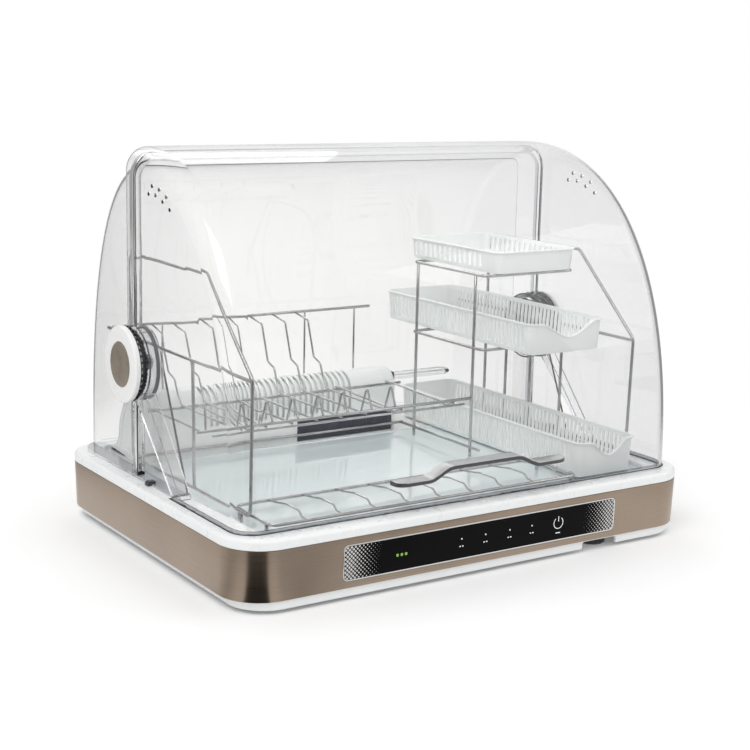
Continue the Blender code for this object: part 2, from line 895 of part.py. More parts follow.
def build_drip_tray(material):
    half_x = base_half_x - well_inset_x - gap
    front = well_front_inset - base_half_y + gap
    rear = well_split_y - gap
    corner = well_corner - gap
    rim_z = deck_top - tray_rim_drop
    bottom = tray_ledge_top + gap

    def ring(inset, height, radius):
        return [(x, y, height) for x, y in
                rounded_rect(inset - half_x, half_x - inset, front + inset, rear - inset, radius)]

    draft = tray_wall / 4
    rings = [ring(draft, bottom, corner - draft), ring(0.0, rim_z, corner),
             ring(tray_wall, rim_z, corner - tray_wall),
             ring(tray_wall + 2 * draft, tray_floor_top, corner - tray_wall - 2 * draft)]
    return finish(loft("tray", rings), "drip_tray", material)


# Clear shells and their pivot
def build_rear_shell(material):
    top_z = deck_top + shell_height
    centre_z = deck_top - seal_depth + deck_step
    line_args = (shell_centre_y, centre_z, shell_rear_y - shell_centre_y, top_z - centre_z, shell_power, 1.0)
    front_y = rim_front_y + flare_depth - shell_wall
    foot_z = flange_bottom + flange_thick / 2
    line = superellipse(*line_args, foot_z, front_y)
    outer = arch_block("shell", line, side_stations(shell_half_x, shell_corner, 0.0), front_y, foot_z)
    inner = arch_block("inside", line, side_stations(shell_half_x, shell_corner, shell_wall),
                       front_y - overrun, foot_z - overrun)
    cut(outer, [inner])
    flare_top = line[-1][1] - shell_wall / 8
    tip = shell_wall * 0.12
    knee_y = rim_front_y + rim_depth * 1.3
    section = ((rim_reach, rim_front_y), (rim_reach, rim_front_y + rim_depth),
               (-tip, rim_front_y + flare_depth), (tip - shell_wall, rim_front_y + flare_depth),
               (tip - shell_wall, rim_front_y + flare_depth - shell_wall),
               (rim_reach - rim_thick, knee_y), (rim_reach - rim_thick, rim_front_y))
    stations = [(0.0, -1.0, 0.0, flange_top - flange_thick / 3)]
    for turn in range(2):
        for step in range(arch_corner_steps + 1):
            angle = math.pi - math.pi / 2 * (turn + step / arch_corner_steps)
            centre_x = (shell_half_x - shell_corner) * (-1.0 if turn == 0 else 1.0)
            stations.append((centre_x, math.cos(angle), math.sin(angle), flare_top - shell_corner))
    stations.append((0.0, 1.0, 0.0, flange_top - flange_thick / 3))
    rings = []
    for centre_x, out_x, out_z, centre_z_here in stations:
        ring = []
        for reach, y in section:
            if centre_x == 0.0:
                ring.append((out_x * (shell_half_x + reach), y, centre_z_here))
            else:
                ring.append((centre_x + out_x * (shell_corner + reach), y,
                             centre_z_here + out_z * (shell_corner + reach)))
        rings.append(ring)
    pieces = [loft("flare", rings)]
    flange_outer = u_line(shell_half_x + flange_width, groove_rear_y, shell_rear_y + cover_corner / 16, flange_corner)
    flange_inner = u_line(shell_half_x - shell_wall - gap, groove_rear_y, shell_rear_y - shell_wall - gap,
                          shell_corner - shell_wall)
    pieces.append(strip("flange", flange_outer, flange_inner, flange_bottom, flange_top))
    foot = (groove_rear_y, foot_z)
    touch = tangent_from(foot, (pivot_y, pivot_z), boss_radius - gap, 1.0)
    back_y = front_y + shell_wall
    cheek_outline = (foot, (back_y, foot_z), (back_y, pivot_z + boss_radius / 2),
                     (pivot_y, pivot_z + boss_radius / 2), touch)
    for sign in (-1.0, 1.0):
        low_x, high_x = sorted((sign * (shell_half_x - shell_wall + cheek_inset), sign * (shell_half_x - cheek_inset)))
        pieces.append(prism("cheek", cheek_outline, "X", low_x, high_x))
        inner_x = shell_half_x - shell_wall / 2
        outer_x = shell_half_x + rim_reach - rim_thick + shell_wall / 2
        wedge = ((inner_x, rim_front_y + gap), (outer_x, rim_front_y + gap), (outer_x, knee_y),
                 (inner_x + gap, front_y + shell_wall / 2), (inner_x, front_y + shell_wall / 2))
        pieces.append(prism("post", [(sign * x, y) for x, y in wedge], "Z", foot_z, pivot_z - boss_radius / 2))
    fuse(outer, pieces)
    clearings = []
    for sign in (-1.0, 1.0):
        low_x, high_x = sorted((sign * (shell_half_x - overrun), sign * (shell_half_x + rim_reach + overrun)))
        clearings.append(prism("clearing", circle(pivot_y, pivot_z, boss_radius - boss_wall / 2, round_sides),
                               "X", low_x, high_x))
    cut(outer, clearings)
    bosses = []
    for sign in (-1.0, 1.0):
        inner_x = shell_half_x - shell_wall + cheek_inset * 4
        web_x = boss_face_x - boss_web
        profile = [(pin_radius + gap, inner_x - gap), (hub_radius, inner_x - gap), (hub_radius, web_x),
                   (boss_radius - boss_wall, web_x), (boss_radius - boss_wall, inner_x),
                   (boss_radius, inner_x), (boss_radius, boss_face_x), (pin_radius + gap, boss_face_x)]
        bosses.append(turned("boss", [(radius, sign * x) for radius, x in profile], "X", pivot_y, pivot_z, round_sides))
    fuse(outer, bosses)
    back_cuts = []
    for sign in (-1.0, 1.0):
        low_x, high_x = sorted((sign * (boss_face_x + gap), sign * (boss_face_x + overrun)))
        back_cuts.append(prism("back_cut", circle(pivot_y, pivot_z, cap_radius + 3 * gap, round_sides), "X", low_x, high_x))
    cut(outer, back_cuts)
    return finish(outer, "rear_shell", material)


def cover_line():
    """Arch line of the cover's outside from its front foot to its rear edge."""
    centre_z = deck_top - seal_depth + deck_step
    return superellipse(cover_centre_y, centre_z, cover_centre_y - cover_front_y,
                        deck_top + cover_height - centre_z, cover_power, -1.0, cover_bottom,
                        cover_centre_y + cover_rear_over, arch_steps + 2)


def build_front_cover(material, pivot):
    rear_y = cover_centre_y + cover_rear_over
    line = cover_line()
    cover = arch_block("cover", line, side_stations(cover_half_x, cover_corner, 0.0), rear_y, cover_bottom)
    inside = arch_block("inside", line, side_stations(cover_half_x, cover_corner, cover_wall),
                        rear_y + overrun, cover_bottom - overrun)
    edge_top = (edge_top_y, pivot_z - edge_top_drop)
    edge_foot = (edge_foot_y, cover_bottom + edge_foot_rise)
    below = cover_bottom - overrun
    behind = rear_y + overrun
    outline = (edge_top, edge_foot, (edge_foot_y, below), (behind, below), (behind, edge_top[1]))
    trims = [prism("trim", outline, "X", -cover_half_x - overrun, overrun + cover_half_x)]
    cut(cover, [inside])
    cut(cover, trims)
    pieces = []
    inset = cover_wall / 2
    outer = u_line(cover_half_x - inset, edge_foot_y - gap, cover_front_y + inset, cover_corner - inset)
    inner = u_line(cover_half_x - bead_size, edge_foot_y - gap, cover_front_y + bead_size, cover_corner - bead_size)
    pieces.append(strip("bead", outer, inner, cover_bottom, cover_bottom + bead_size))
    lip_top = Vector((lip_top_y, pivot_z - lip_top_drop))
    lip_foot = Vector((lip_foot_y, cover_bottom + bead_size / 2))
    heading = (lip_top - lip_foot).normalized()
    aside = Vector((-heading.y, heading.x)) * lip_sheet
    lip_outline = [tuple(lip_foot), tuple(lip_top), tuple(lip_top + aside), tuple(lip_foot + aside)]
    for sign in (-1.0, 1.0):
        low_x, high_x = sorted((sign * (cover_half_x - cover_wall - lip_reach), sign * (cover_half_x - cover_wall / 2)))
        pieces.append(prism("lip", lip_outline, "X", low_x, high_x))
        low_x, high_x = sorted((sign * (cover_half_x - cover_wall + cheek_inset), sign * (cover_half_x - cheek_inset)))
        pieces.append(prism("ear", circle(pivot_y, pivot_z, ear_radius, round_sides), "X", low_x, high_x))
    fuse(cover, pieces)
    holes = []
    for sign in (-1.0, 1.0):
        low_x, high_x = sorted((sign * (cover_half_x - overrun), sign * (cover_half_x + overrun)))
        holes.append(prism("hub", circle(pivot_y, pivot_z, hub_hole, round_sides), "X", low_x, high_x))
        for index in range(vent_count):
            y = vent_rear_y - vent_pitch * index
            drop = deck_top + cover_height - roof_height(line, y)
            z = deck_top + cover_height - vent_drop - drop
            holes.append(prism("vent", circle(y, z, vent_radius, 6), "X", low_x, high_x))
    cut(cover, holes)
    return finish(cover, "front_cover", material, pivot.location, pivot)


def roof_height(line, y):
    """Height of an arch line at y."""
    for (y0, z0, _a, _b), (y1, z1, _c, _d) in zip(line, line[1:]):
        if min(y0, y1) <= y <= max(y0, y1) and y0 != y1:
            return z0 + (z1 - z0) * (y - y0) / (y1 - y0)
    return line[-1][1]


def face_depth(line, z):
    """Place along Y of an arch line at height z."""
    for (y0, z0, _a, _b), (y1, z1, _c, _d) in zip(line, line[1:]):
        if min(z0, z1) <= z <= max(z0, z1) and z0 != z1:
            return y0 + (y1 - y0) * (z - z0) / (z1 - z0)
    return line[0][0]


def build_handle(material, pivot):
    line = cover_line()
    stations = [-handle_half_length, handle_taper - handle_half_length]
    ramp_start = handle_flat + handle_slope
    stations += [-ramp_start + handle_slope * step / 5 for step in range(6)]
    stations = stations + [-x for x in reversed(stations)]
    rings = []
    for x in stations:
        ramp = min(max((ramp_start - abs(x)) / handle_slope, 0.0), 1.0)
        mid_z = deck_top + handle_low + handle_rise * (1.0 - math.cos(math.pi * ramp)) / 2
        low = mid_z - handle_thick / 2
        high = mid_z + handle_thick / 2
        back_y = min(face_depth(line, low), face_depth(line, high)) - gap
        reach = handle_reach if abs(x) < handle_half_length - handle_taper / 2 else handle_reach / 2
        front_y = back_y - reach
        rings.append([(x, back_y, low), (x, back_y, high), (x, front_y + handle_edge, high),
                      (x, front_y, high - handle_edge), (x, front_y, low + handle_edge),
                      (x, front_y + handle_edge, low)])
    return finish(loft("handle", rings), "cover_handle", material, pivot.location, pivot)


def build_pivot_parts(materials, pivot):
    for side, sign in (("left", -1.0), ("right", 1.0)):
        centre = (sign * shell_half_x, pivot_y, pivot_z)

        def lathe(name, profile, sides):
            return turned(name, [(radius, sign * x) for radius, x in profile], "X", pivot_y, pivot_z, sides)

        head_x = shell_half_x - shell_wall + cheek_inset * 4 - gap * 2
        pin = lathe("pin", ((0.0, head_x - pin_head_thick), (pin_head_radius - gap * 3, head_x - pin_head_thick),
                            (pin_head_radius, head_x - pin_head_thick + gap * 3), (pin_head_radius, head_x),
                            (pin_radius, head_x), (pin_radius, ring_outer_x - gap), (0.0, ring_outer_x - gap)), 16)
        finish(pin, "pivot_pin_" + side, materials["pin"], centre)
        outline = []
        outer = hub_hole - gap
        for tooth in range(ring_teeth):
            for share, radius in ((0.0, outer), (0.5, outer), (0.5, outer - tooth_depth), (1.0, outer - tooth_depth)):
                angle = 2 * math.pi * (tooth + share * 0.98) / ring_teeth
                outline.append((pivot_y + radius * math.cos(angle), pivot_z + radius * math.sin(angle)))
        low_x, high_x = sorted((sign * ring_inner_x, sign * ring_outer_x))
        ring = prism("ring", outline, "X", low_x, high_x)
        tools = [prism("bore", circle(pivot_y, pivot_z, pin_radius + gap, 16), "X",
                       low_x - overrun, high_x + overrun)]
        if side == "right":
            tools.append(prism("pocket", circle(pivot_y - magnet_offset, pivot_z, magnet_radius + gap, 12),
                               "X", ring_inner_x - overrun, ring_inner_x + magnet_thick + 2 * gap))
        cut(ring, tools)
        finish(ring, "damper_ring_" + side, materials["ring"], pivot.location, pivot)
        recess = cap_outer_x - badge_recess
        profile = ((0.0, cap_inner_x), (cap_radius - cap_skirt, cap_inner_x),
                   (cap_radius - cap_skirt, cover_half_x + gap), (cap_radius, cover_half_x + gap),
                   (cap_radius, cap_outer_x - cap_edge), (cap_radius - cap_edge, cap_outer_x),
                   (badge_radius + gap, cap_outer_x),
                   (badge_radius + gap, recess), (0.0, recess))
        finish(lathe("cap", profile, 28), "pivot_cap_" + side, materials["cap"], pivot.location, pivot)
        badge_face = recess + gap + badge_thick
        profile = ((0.0, recess + gap), (badge_radius, recess + gap), (badge_radius - gap, badge_face),
                   (0.0, badge_face))
        finish(lathe("badge", profile, 28), "pivot_badge_" + side, materials["badge"], pivot.location, pivot)
        clip_x = shell_half_x + flange_width + gap
        low_z = deck_top + gap
        hook_z = flange_top + gap
        outline = ((clip_x, low_z), (clip_x + clip_width, low_z), (clip_x + clip_width, low_z + clip_height / 2),
                   (clip_x + clip_width / 2, low_z + clip_height), (clip_x - clip_hook, low_z + clip_height),
                   (clip_x - clip_hook, hook_z), (clip_x, hook_z))
        clip = prism("clip", [(sign * x, z) for x, z in outline], "Y", clip_front_y, clip_front_y + clip_length)
        finish(clip, "shell_clip_" + side, materials["clip"], (sign * clip_x, clip_front_y, low_z))
    magnet_x = ring_inner_x + magnet_thick + gap
    profile = ((0.0, magnet_x - magnet_thick), (magnet_radius, magnet_x - magnet_thick),
               (magnet_radius, magnet_x), (0.0, magnet_x))
    magnet = turned("magnet", profile, "X", pivot_y - magnet_offset, pivot_z, 12)
    finish(magnet, "cover_magnet", materials["magnet"], pivot.location, pivot)
    web_x = boss_face_x - boss_web - gap
    sensor = block("sensor", (web_x - sensor_depth, pivot_y - magnet_offset - sensor_width / 2,
                              pivot_z - sensor_width / 2),
                   (web_x, pivot_y - magnet_offset + sensor_width / 2, pivot_z + sensor_width / 2))
    boot = prism("boot", circle(pivot_y - magnet_offset, pivot_z, sensor_width / 3, 10), "X",
                 web_x - sensor_depth - sensor_width / 3, web_x - sensor_depth / 2)
    fuse(sensor, [boot])
    finish(sensor, "interlock_sensor", materials["sensor"], (web_x, pivot_y - magnet_offset, pivot_z))


# Rear housing and what it holds
# Back of the housing from its crest down, as shares of its depth behind the crest and of its height.
back_shares = ((0.0, 1.0), (0.12, 0.99), (0.25, 0.94), (0.36, 0.84), (0.45, 0.72), (0.55, 0.56), (0.61, 0.42),
               (0.63, 0.3), (0.69, 0.2), (0.78, 0.125), (0.9, 0.075), (1.0, 0.05))


def housing_line():
    """Outline of the housing from its front foot over the crest to its rear foot."""
    crest_y = housing_front_y + housing_round
    crest_rise = housing_front_height + housing_round
    line = [(housing_front_y, housing_bottom), (housing_front_y, housing_bottom + housing_front_height)]
    for step in range(1, corner_steps + 1):
        angle = math.pi / 2 * step / corner_steps
        line.append((crest_y - housing_round * math.cos(angle),
                     housing_bottom + housing_front_height + housing_round * math.sin(angle)))
    for along_share, height_share in back_shares[1:]:
        line.append((crest_y + housing_back * along_share, housing_bottom + crest_rise * height_share))
    return line


def with_normals(line):
    """Add the outward direction to each point of an open line that runs from front to rear."""
    result = []
    for index, (y, z) in enumerate(line):
        before = line[max(index - 1, 0)]
        after = line[min(index + 1, len(line) - 1)]
        heading = Vector((after[0] - before[0], after[1] - before[1])).normalized()
        result.append((y, z, -heading.y, heading.x))
    return result


def housing_rings(line, stations, low_z, drop_tail):
    rings = []
    for x, inset in stations:
        ring = [(x, y - inset * out_y, z - inset * out_z) for y, z, out_y, out_z in line[:len(line) - drop_tail]]
        ring[0] = (x, ring[0][1], low_z)
        ring.append((x, ring[-1][1], low_z))
        rings.append(ring)
    return rings


def housing_height(y):
    """Height of the housing's outside at y."""
    line = housing_line()
    for (y0, z0), (y1, z1) in zip(line[2:], line[3:]):
        if y0 <= y <= y1:
            return z0 + (z1 - z0) * (y - y0) / (y1 - y0)
    return line[-1][1]


def build_housing(material):
    line = with_normals(housing_line())
    line[0] = (line[0][0], line[0][1], -1.0, 0.0)
    line[1] = (line[1][0], line[1][1], -1.0, 0.0)
    line[-1] = (line[-1][0], line[-1][1], 1.0, 0.0)
    round_stations = []
    for step in range(3):
        angle = math.pi / 2 * step / 2
        round_stations.append((housing_end_round * (1.0 - math.sin(angle)),
                               housing_end_round * (1.0 - math.cos(angle))))
    outer_stations = [(housing_left_x + back, inset) for inset, back in round_stations]
    outer_stations += [(housing_right_x - back, inset) for inset, back in reversed(round_stations)]
    housing = loft("housing", housing_rings(line, outer_stations, housing_bottom, 0))
    inner_stations = [(housing_left_x + housing_wall, housing_wall), (housing_right_x - housing_wall, housing_wall)]
    inside = loft("inside", housing_rings(line, inner_stations, housing_bottom - overrun, 4))
    cut(housing, [inside])
    crest_y = housing_front_y + housing_round
    tools = []
    count = round((louvre_last_x - louvre_first_x) / louvre_pitch)
    for index in range(count + 1):
        x = louvre_first_x + louvre_pitch * index
        tools.append(block("louvre", (x - louvre_width / 2, housing_front_y - overrun, housing_bottom + louvre_low),
                           (x + louvre_width / 2, crest_y - gap, housing_bottom + housing_front_height
                            + housing_round + overrun)))
    cut(housing, tools)
    low_z = housing_bottom + grille_low
    window = block("grille_window", (grille_left_x, housing_front_y - overrun, low_z),
                   (grille_right_x, housing_front_y + housing_wall * 1.5, low_z + grille_height))
    cut(housing, [window])
    return finish(housing, "rear_housing", material, (housing_left_x, housing_front_y, housing_bottom))


def build_grille(material):
    front_y = housing_front_y - gap * 2
    low_z = housing_bottom + grille_low + gap
    high_z = housing_bottom + grille_low + grille_height - gap
    low_x = grille_left_x + gap
    high_x = grille_right_x - gap
    grille = block("grille", (low_x, front_y, low_z), (high_x, front_y + grille_thick, high_z))
    tools = []
    count = round((high_x - low_x - 2 * grille_frame) / grille_pitch)
    pitch = (high_x - low_x - 2 * grille_frame + grille_bar) / count
    middle = (low_z + high_z) / 2
    for index in range(count):
        x = low_x + grille_frame + pitch * index
        for bottom, top in ((low_z + grille_frame, middle - grille_bar / 2),
                            (middle + grille_bar / 2, high_z - grille_frame)):
            tools.append(block("slot", (x, front_y - overrun, bottom),
                               (x + pitch - grille_bar, front_y + grille_thick + overrun, top)))
    cut(grille, tools)
    return finish(grille, "vent_grille", material, (low_x, front_y, low_z))


def build_blower(wheel_material, motor_material, axle):
    z = housing_bottom + fan_rise
    motor_right_x = fan_left_x - post_width
    shaft = turned("shaft", ((0.0, motor_right_x - post_width), (shaft_radius, motor_right_x - post_width),
                             (shaft_radius, fan_right_x + post_width * 1.3), (0.0, fan_right_x + post_width * 1.3)),
                   "X", fan_y, z, 10)
    pieces = []
    for low_x in (fan_left_x, fan_right_x - fan_disc):
        pieces.append(prism("disc", circle(fan_y, z, fan_radius, 16), "X", low_x, low_x + fan_disc))
    for index in range(fan_blades):
        angle = 2 * math.pi * index / fan_blades
        outline = []
        for reach, lead in ((0.0, 0.0), (1.0, 0.3)):
            radius = fan_radius - blade_thick - blade_depth * (1.0 - reach)
            outline.append((fan_y + radius * math.cos(angle + lead), z + radius * math.sin(angle + lead)))
        for reach, lead in ((1.0, 0.3), (0.0, 0.0)):
            radius = fan_radius - blade_thick - blade_depth * (1.0 - reach)
            turn = angle + lead + blade_thick / fan_radius
            outline.append((fan_y + radius * math.cos(turn), z + radius * math.sin(turn)))
        pieces.append(prism("blade", outline, "X", fan_left_x + fan_disc / 2, fan_right_x - fan_disc / 2))
    fuse(shaft, pieces)
    finish(shaft, "fan_impeller", wheel_material, axle.location, axle)
    left_x = motor_right_x - motor_length
    can = turned("can", ((0.0, left_x), (motor_radius - motor_edge, left_x), (motor_radius, left_x + motor_edge),
                         (motor_radius, motor_right_x), (shaft_radius + gap, motor_right_x),
                         (shaft_radius + gap, motor_right_x - post_width - gap * 2),
                         (0.0, motor_right_x - post_width - gap * 2)), "X", fan_y, z, 20)
    low_z = housing_bottom
    post_x = fan_right_x + post_width / 2
    cradle = block("cradle", (left_x + motor_edge, fan_y - cradle_half_depth, low_z),
                   (post_x + post_width, fan_y + cradle_half_depth, low_z + cradle_thick))
    saddle = block("saddle", (left_x + post_width, fan_y - post_half_depth, low_z + cradle_thick / 2),
                   (motor_right_x - post_width, fan_y + post_half_depth, z - motor_radius / 2))
    post = block("post", (post_x, fan_y - post_half_depth, low_z + cradle_thick / 2),
                 (post_x + post_width, fan_y + post_half_depth, z + post_half_depth))
    fuse(can, [cradle, saddle, post])
    bore = prism("bore", circle(fan_y, z, shaft_radius + gap, 10), "X", post_x - post_width / 4,
                 post_x + post_width + overrun)
    cut(can, [bore])
    finish(can, "fan_motor", motor_material, (left_x, fan_y, z))


def build_heater(material):
    low_z = housing_bottom + heater_low
    rear_y = heater_front_y + heater_depth
    frame = block("heater", (heater_left_x, heater_front_y, low_z), (heater_right_x, rear_y, low_z + heater_height))
    inner_x = heater_right_x - heater_left_x - 2 * heater_frame
    count = round(inner_x / heater_pitch)
    pitch = (inner_x + heater_fin) / count
    tools = []
    for index in range(count):
        x = heater_left_x + heater_frame + pitch * index
        tools.append(block("slot", (x, heater_front_y - overrun, low_z + heater_frame),
                           (x + pitch - heater_fin, rear_y + overrun, low_z + heater_height - heater_frame)))
    cut(frame, tools)
    feet = []
    for x in (heater_left_x, heater_right_x - 2 * heater_frame):
        feet.append(block("foot", (x + heater_fin, heater_front_y + heater_fin, housing_bottom),
                          (x + 2 * heater_frame - heater_fin, rear_y - heater_fin, low_z + heater_frame / 2)))
    fuse(frame, feet)
    return finish(frame, "heater", material, (heater_left_x, heater_front_y, low_z))


def build_lamp(lamp_material, holder_material):
    z = housing_bottom + lamp_rise
    low_x = housing_right_x + gap
    high_x = low_x + holder_length
    front_y = lamp_front_y - lamp_radius - holder_margin
    rear_y = lamp_front_y + lamp_leg_pitch + lamp_radius + holder_margin
    outline = rounded_rect(front_y, rear_y, z - lamp_radius - holder_margin, z + lamp_radius + holder_margin,
                           holder_edge * 2, steps=2)
    holder = prism("holder", outline, "X", low_x, high_x)
    seat_x = high_x - lamp_seat
    tools = [prism("seat", circle(y, z, lamp_radius + gap, 16), "X", seat_x, high_x + overrun)
             for y in (lamp_front_y, lamp_front_y + lamp_leg_pitch)]
    cut(holder, tools)
    finish(holder, "lamp_holder", holder_material, (low_x, lamp_front_y, z))
    turn_x = seat_x + lamp_reach - lamp_leg_pitch / 2
    centre_y = lamp_front_y + lamp_leg_pitch / 2
    path = [(seat_x + gap, lamp_front_y, z)]
    for step in range(9):
        angle = math.pi * step / 8
        path.append((turn_x + lamp_leg_pitch / 2 * math.sin(angle),
                     centre_y - lamp_leg_pitch / 2 * math.cos(angle), z))
    path.append((seat_x + gap, lamp_front_y + lamp_leg_pitch, z))
    lamp = tube("lamp", path, lamp_radius, 10)
    finish(lamp, "uv_lamp", lamp_material, (low_x, lamp_front_y, z))


# Wire racks
def build_stand(sign, material, name):
    x = sign * stand_x
    low = rack_low_z
    top = tray_floor_top + stand_top
    shoulder = tray_floor_top + stand_shoulder
    loop = [(stand_rear_y, low), (stand_rear_y, top), (stand_peak_y, top), (stand_front_y, shoulder),
            (stand_front_y + stand_lean, low)]
    middle_y = (stand_rear_y + stand_front_y) / 2
    points = [(x, middle_y, low)] + [(x, y, z) for y, z in loop] + [(x, middle_y + frame_wire, low)]
    path = fillet(points, stand_bend)
    path = path[1:-1]
    frame = tube("frame", path, frame_wire, closed=True)
    rail_z = tray_floor_top + mid_rail_height
    rail = tube("rail", [(x, stand_front_y + frame_wire / 3, rail_z), (x, mid_rail_rear_y, rail_z)], frame_wire)
    rod = tube("rod", [(x, rod_y, low), (x, rod_y, rail_z)], frame_wire)
    feet = [tube("foot", [(x, y, tray_floor_top + gap), (x, y, low)], frame_wire, 8)
            for y in (stand_rear_y - stand_foot_rear_setback, stand_front_y + stand_foot_front_setback)]
    fuse(frame, [rail, rod] + feet)
    return finish(frame, name, material, (x, stand_rear_y, low))


# A plate divider from the rear rail down to the support rail, as shares of its depth and height.
divider_shares = ((0.0, 1.0), (0.411, 0.94), (0.493, 0.72), (0.608, 0.41), (0.8055, 0.345), (0.904, 0.14), (1.0, 0.0))
# A cross wire's dip behind the front rail, as shares of its length and of the rack's height.
cross_shares = ((0.07, 0.0), (0.78, -0.03), (0.89, -0.07), (0.945, -0.03), (0.976, 0.0))


def rack_points(x, shares, rear_y, front_y, low_z, high_z):
    return [(x, rear_y + (front_y - rear_y) * depth, low_z + (high_z - low_z) * rise) for depth, rise in shares]


def post_places():
    return [rack_span * share - stand_x for share in post_shares]


def build_rack_rear(material):
    rail_z = tray_floor_top + mid_rail_height
    start = (rack_left_x, mid_rail_rear_y, rail_z)
    rail = tube("rail", [start, (plate_right_x, mid_rail_rear_y, rail_z)], frame_wire)
    foot_z = housing_height(mid_rail_rear_y - cross_wire) + 3 * gap
    posts = [tube("post", [(x, mid_rail_rear_y, rail_z), (x, mid_rail_rear_y, foot_z)], cross_wire, thin_wire_sides)
             for x in post_places()]
    fuse(rail, posts)
    return finish(rail, "plate_rack_rear", material, start)


def build_rack_floor(material):
    low = plate_floor_z
    high = tray_floor_top + mid_rail_height
    sunk = low - gap - weld_sink
    support_z = low - cross_wire - gap - frame_wire
    end_x = plate_left_x - plate_pitch * 1.2
    start = (end_x - frame_wire, support_y, support_z)
    support = tube("support", [start, (plate_right_x - frame_wire * 2, support_y, support_z)], frame_wire)
    end_y = rod_y + cross_wire * 2 + gap
    pieces = []
    for x in post_places():
        path = [(x, support_y + cross_tail, sunk), (x, support_y - cross_tail, sunk)]
        path += rack_points(x, cross_shares, support_y, rod_y, low, high) + [(x, end_y, low)]
        pieces.append(tube("cross", path, cross_wire, thin_wire_sides))
    rise_y = rod_y + frame_wire + cross_wire + gap
    path = [(end_x, support_y + cross_tail, sunk), (end_x, support_y - cross_tail, sunk)]
    path += rack_points(end_x, ((0.07, 0.0), (0.92, 0.0)), support_y, rod_y, low, high)
    path += [(end_x, rise_y, low + cross_wire * 3), (end_x, rise_y, low + vee_height * 1.15)]
    pieces.append(tube("end", path, cross_wire, thin_wire_sides))
    fuse(support, pieces)
    return finish(support, "plate_rack_floor", material, start)


def build_rack_front(material):
    upper_z = plate_floor_z + cross_wire + gap + frame_wire
    lower_z = plate_floor_z - cross_wire - gap - lower_wire
    upper = tube("upper", [(rack_left_x, rod_y, upper_z), (tower_x - frame_wire - gap, rod_y, upper_z)], frame_wire)
    pieces = [tube("lower", [(plate_left_x - plate_pitch, rod_y, lower_z),
                             (plate_right_x - frame_wire * 4, rod_y, lower_z)], lower_wire)]
    foot_z = upper_z + frame_wire / 3
    for index in range(plate_count):
        x = plate_left_x + plate_pitch * index
        pieces.append(tube("vee", [(x - vee_width / 2, rod_y, foot_z), (x - cross_wire, rod_y, foot_z + vee_height),
                                   (x + cross_wire, rod_y, foot_z + vee_height),
                                   (x + vee_width / 2, rod_y, foot_z)], cross_wire, thin_wire_sides))
    for x in post_places():
        pieces.append(tube("tie", [(x, rod_y, upper_z), (x, rod_y, lower_z)], cross_wire))
    fuse(upper, pieces)
    return finish(upper, "plate_rack_front", material, (rack_left_x, rod_y, upper_z))


def build_plate_dividers(material):
    low = plate_floor_z
    high = tray_floor_top + mid_rail_height
    top_y = mid_rail_rear_y - frame_wire - 2 * gap
    for index in range(plate_count):
        x = plate_left_x + plate_pitch * index
        path = rack_points(x, divider_shares, top_y, support_y, low, high) + [(x, rod_y, low)]
        divider = tube("divider", path, cross_wire, thin_wire_sides)
        finish(divider, f"plate_divider_{index + 1}", material, (x, top_y, high))


def build_plate_rack(material):
    build_rack_rear(material)
    build_rack_floor(material)
    build_rack_front(material)
    build_plate_dividers(material)


# A saucer wire from the rear rail to the front rail, as shares of its depth and of its rise.
saucer_shares = ((0.0, 0.1), (0.5, 1.0), (0.8, 1.0), (0.88, 0.3), (1.0, 0.15))


def build_saucer_rack(material):
    low = rack_low_z
    left_x = rack_left_x
    side_front = (left_x, saucer_front_y, low)
    frame_points = [(saucer_right_x, saucer_rear_y, low), (left_x, saucer_rear_y, low), side_front,
                    (saucer_right_x, saucer_front_y, low), (saucer_right_x, saucer_rear_y, low)]
    middle_x = (left_x + saucer_right_x) / 2
    points = [(middle_x, saucer_rear_y, low)] + frame_points[1:4] + [frame_points[0],
                                                                    (middle_x + frame_wire, saucer_rear_y, low)]
    frame = tube("frame", fillet(points, stand_bend)[1:-1], frame_wire, closed=True)
    pieces = []
    span = saucer_right_x - left_x
    for index in range(saucer_count):
        x = left_x + span * (saucer_first_share + saucer_pitch_share * index)
        line = [(x, saucer_rear_y + (saucer_front_y - saucer_rear_y) * depth, low + saucer_rise * rise)
                for depth, rise in saucer_shares]
        pieces.append(tube("wire", line, cross_wire, thin_wire_sides))
    for x in (left_x, saucer_right_x):
        for share in (0.12, 0.86):
            y = saucer_rear_y + (saucer_front_y - saucer_rear_y) * share
            pieces.append(tube("foot", [(x, y, tray_floor_top + gap), (x, y, low)], frame_wire, 8))
    fuse(frame, pieces)
    return finish(frame, "saucer_rack", material, (left_x, saucer_rear_y, low))


def shelf_loop(left_x, right_x, front_y, rear_y, z):
    middle_x = (left_x + right_x) / 2
    points = [(middle_x, rear_y, z), (left_x, rear_y, z), (left_x, front_y, z), (right_x, front_y, z),
              (right_x, rear_y, z), (middle_x + frame_wire, rear_y, z)]
    return tube("shelf", fillet(points, stand_bend)[1:-1], frame_wire, closed=True)


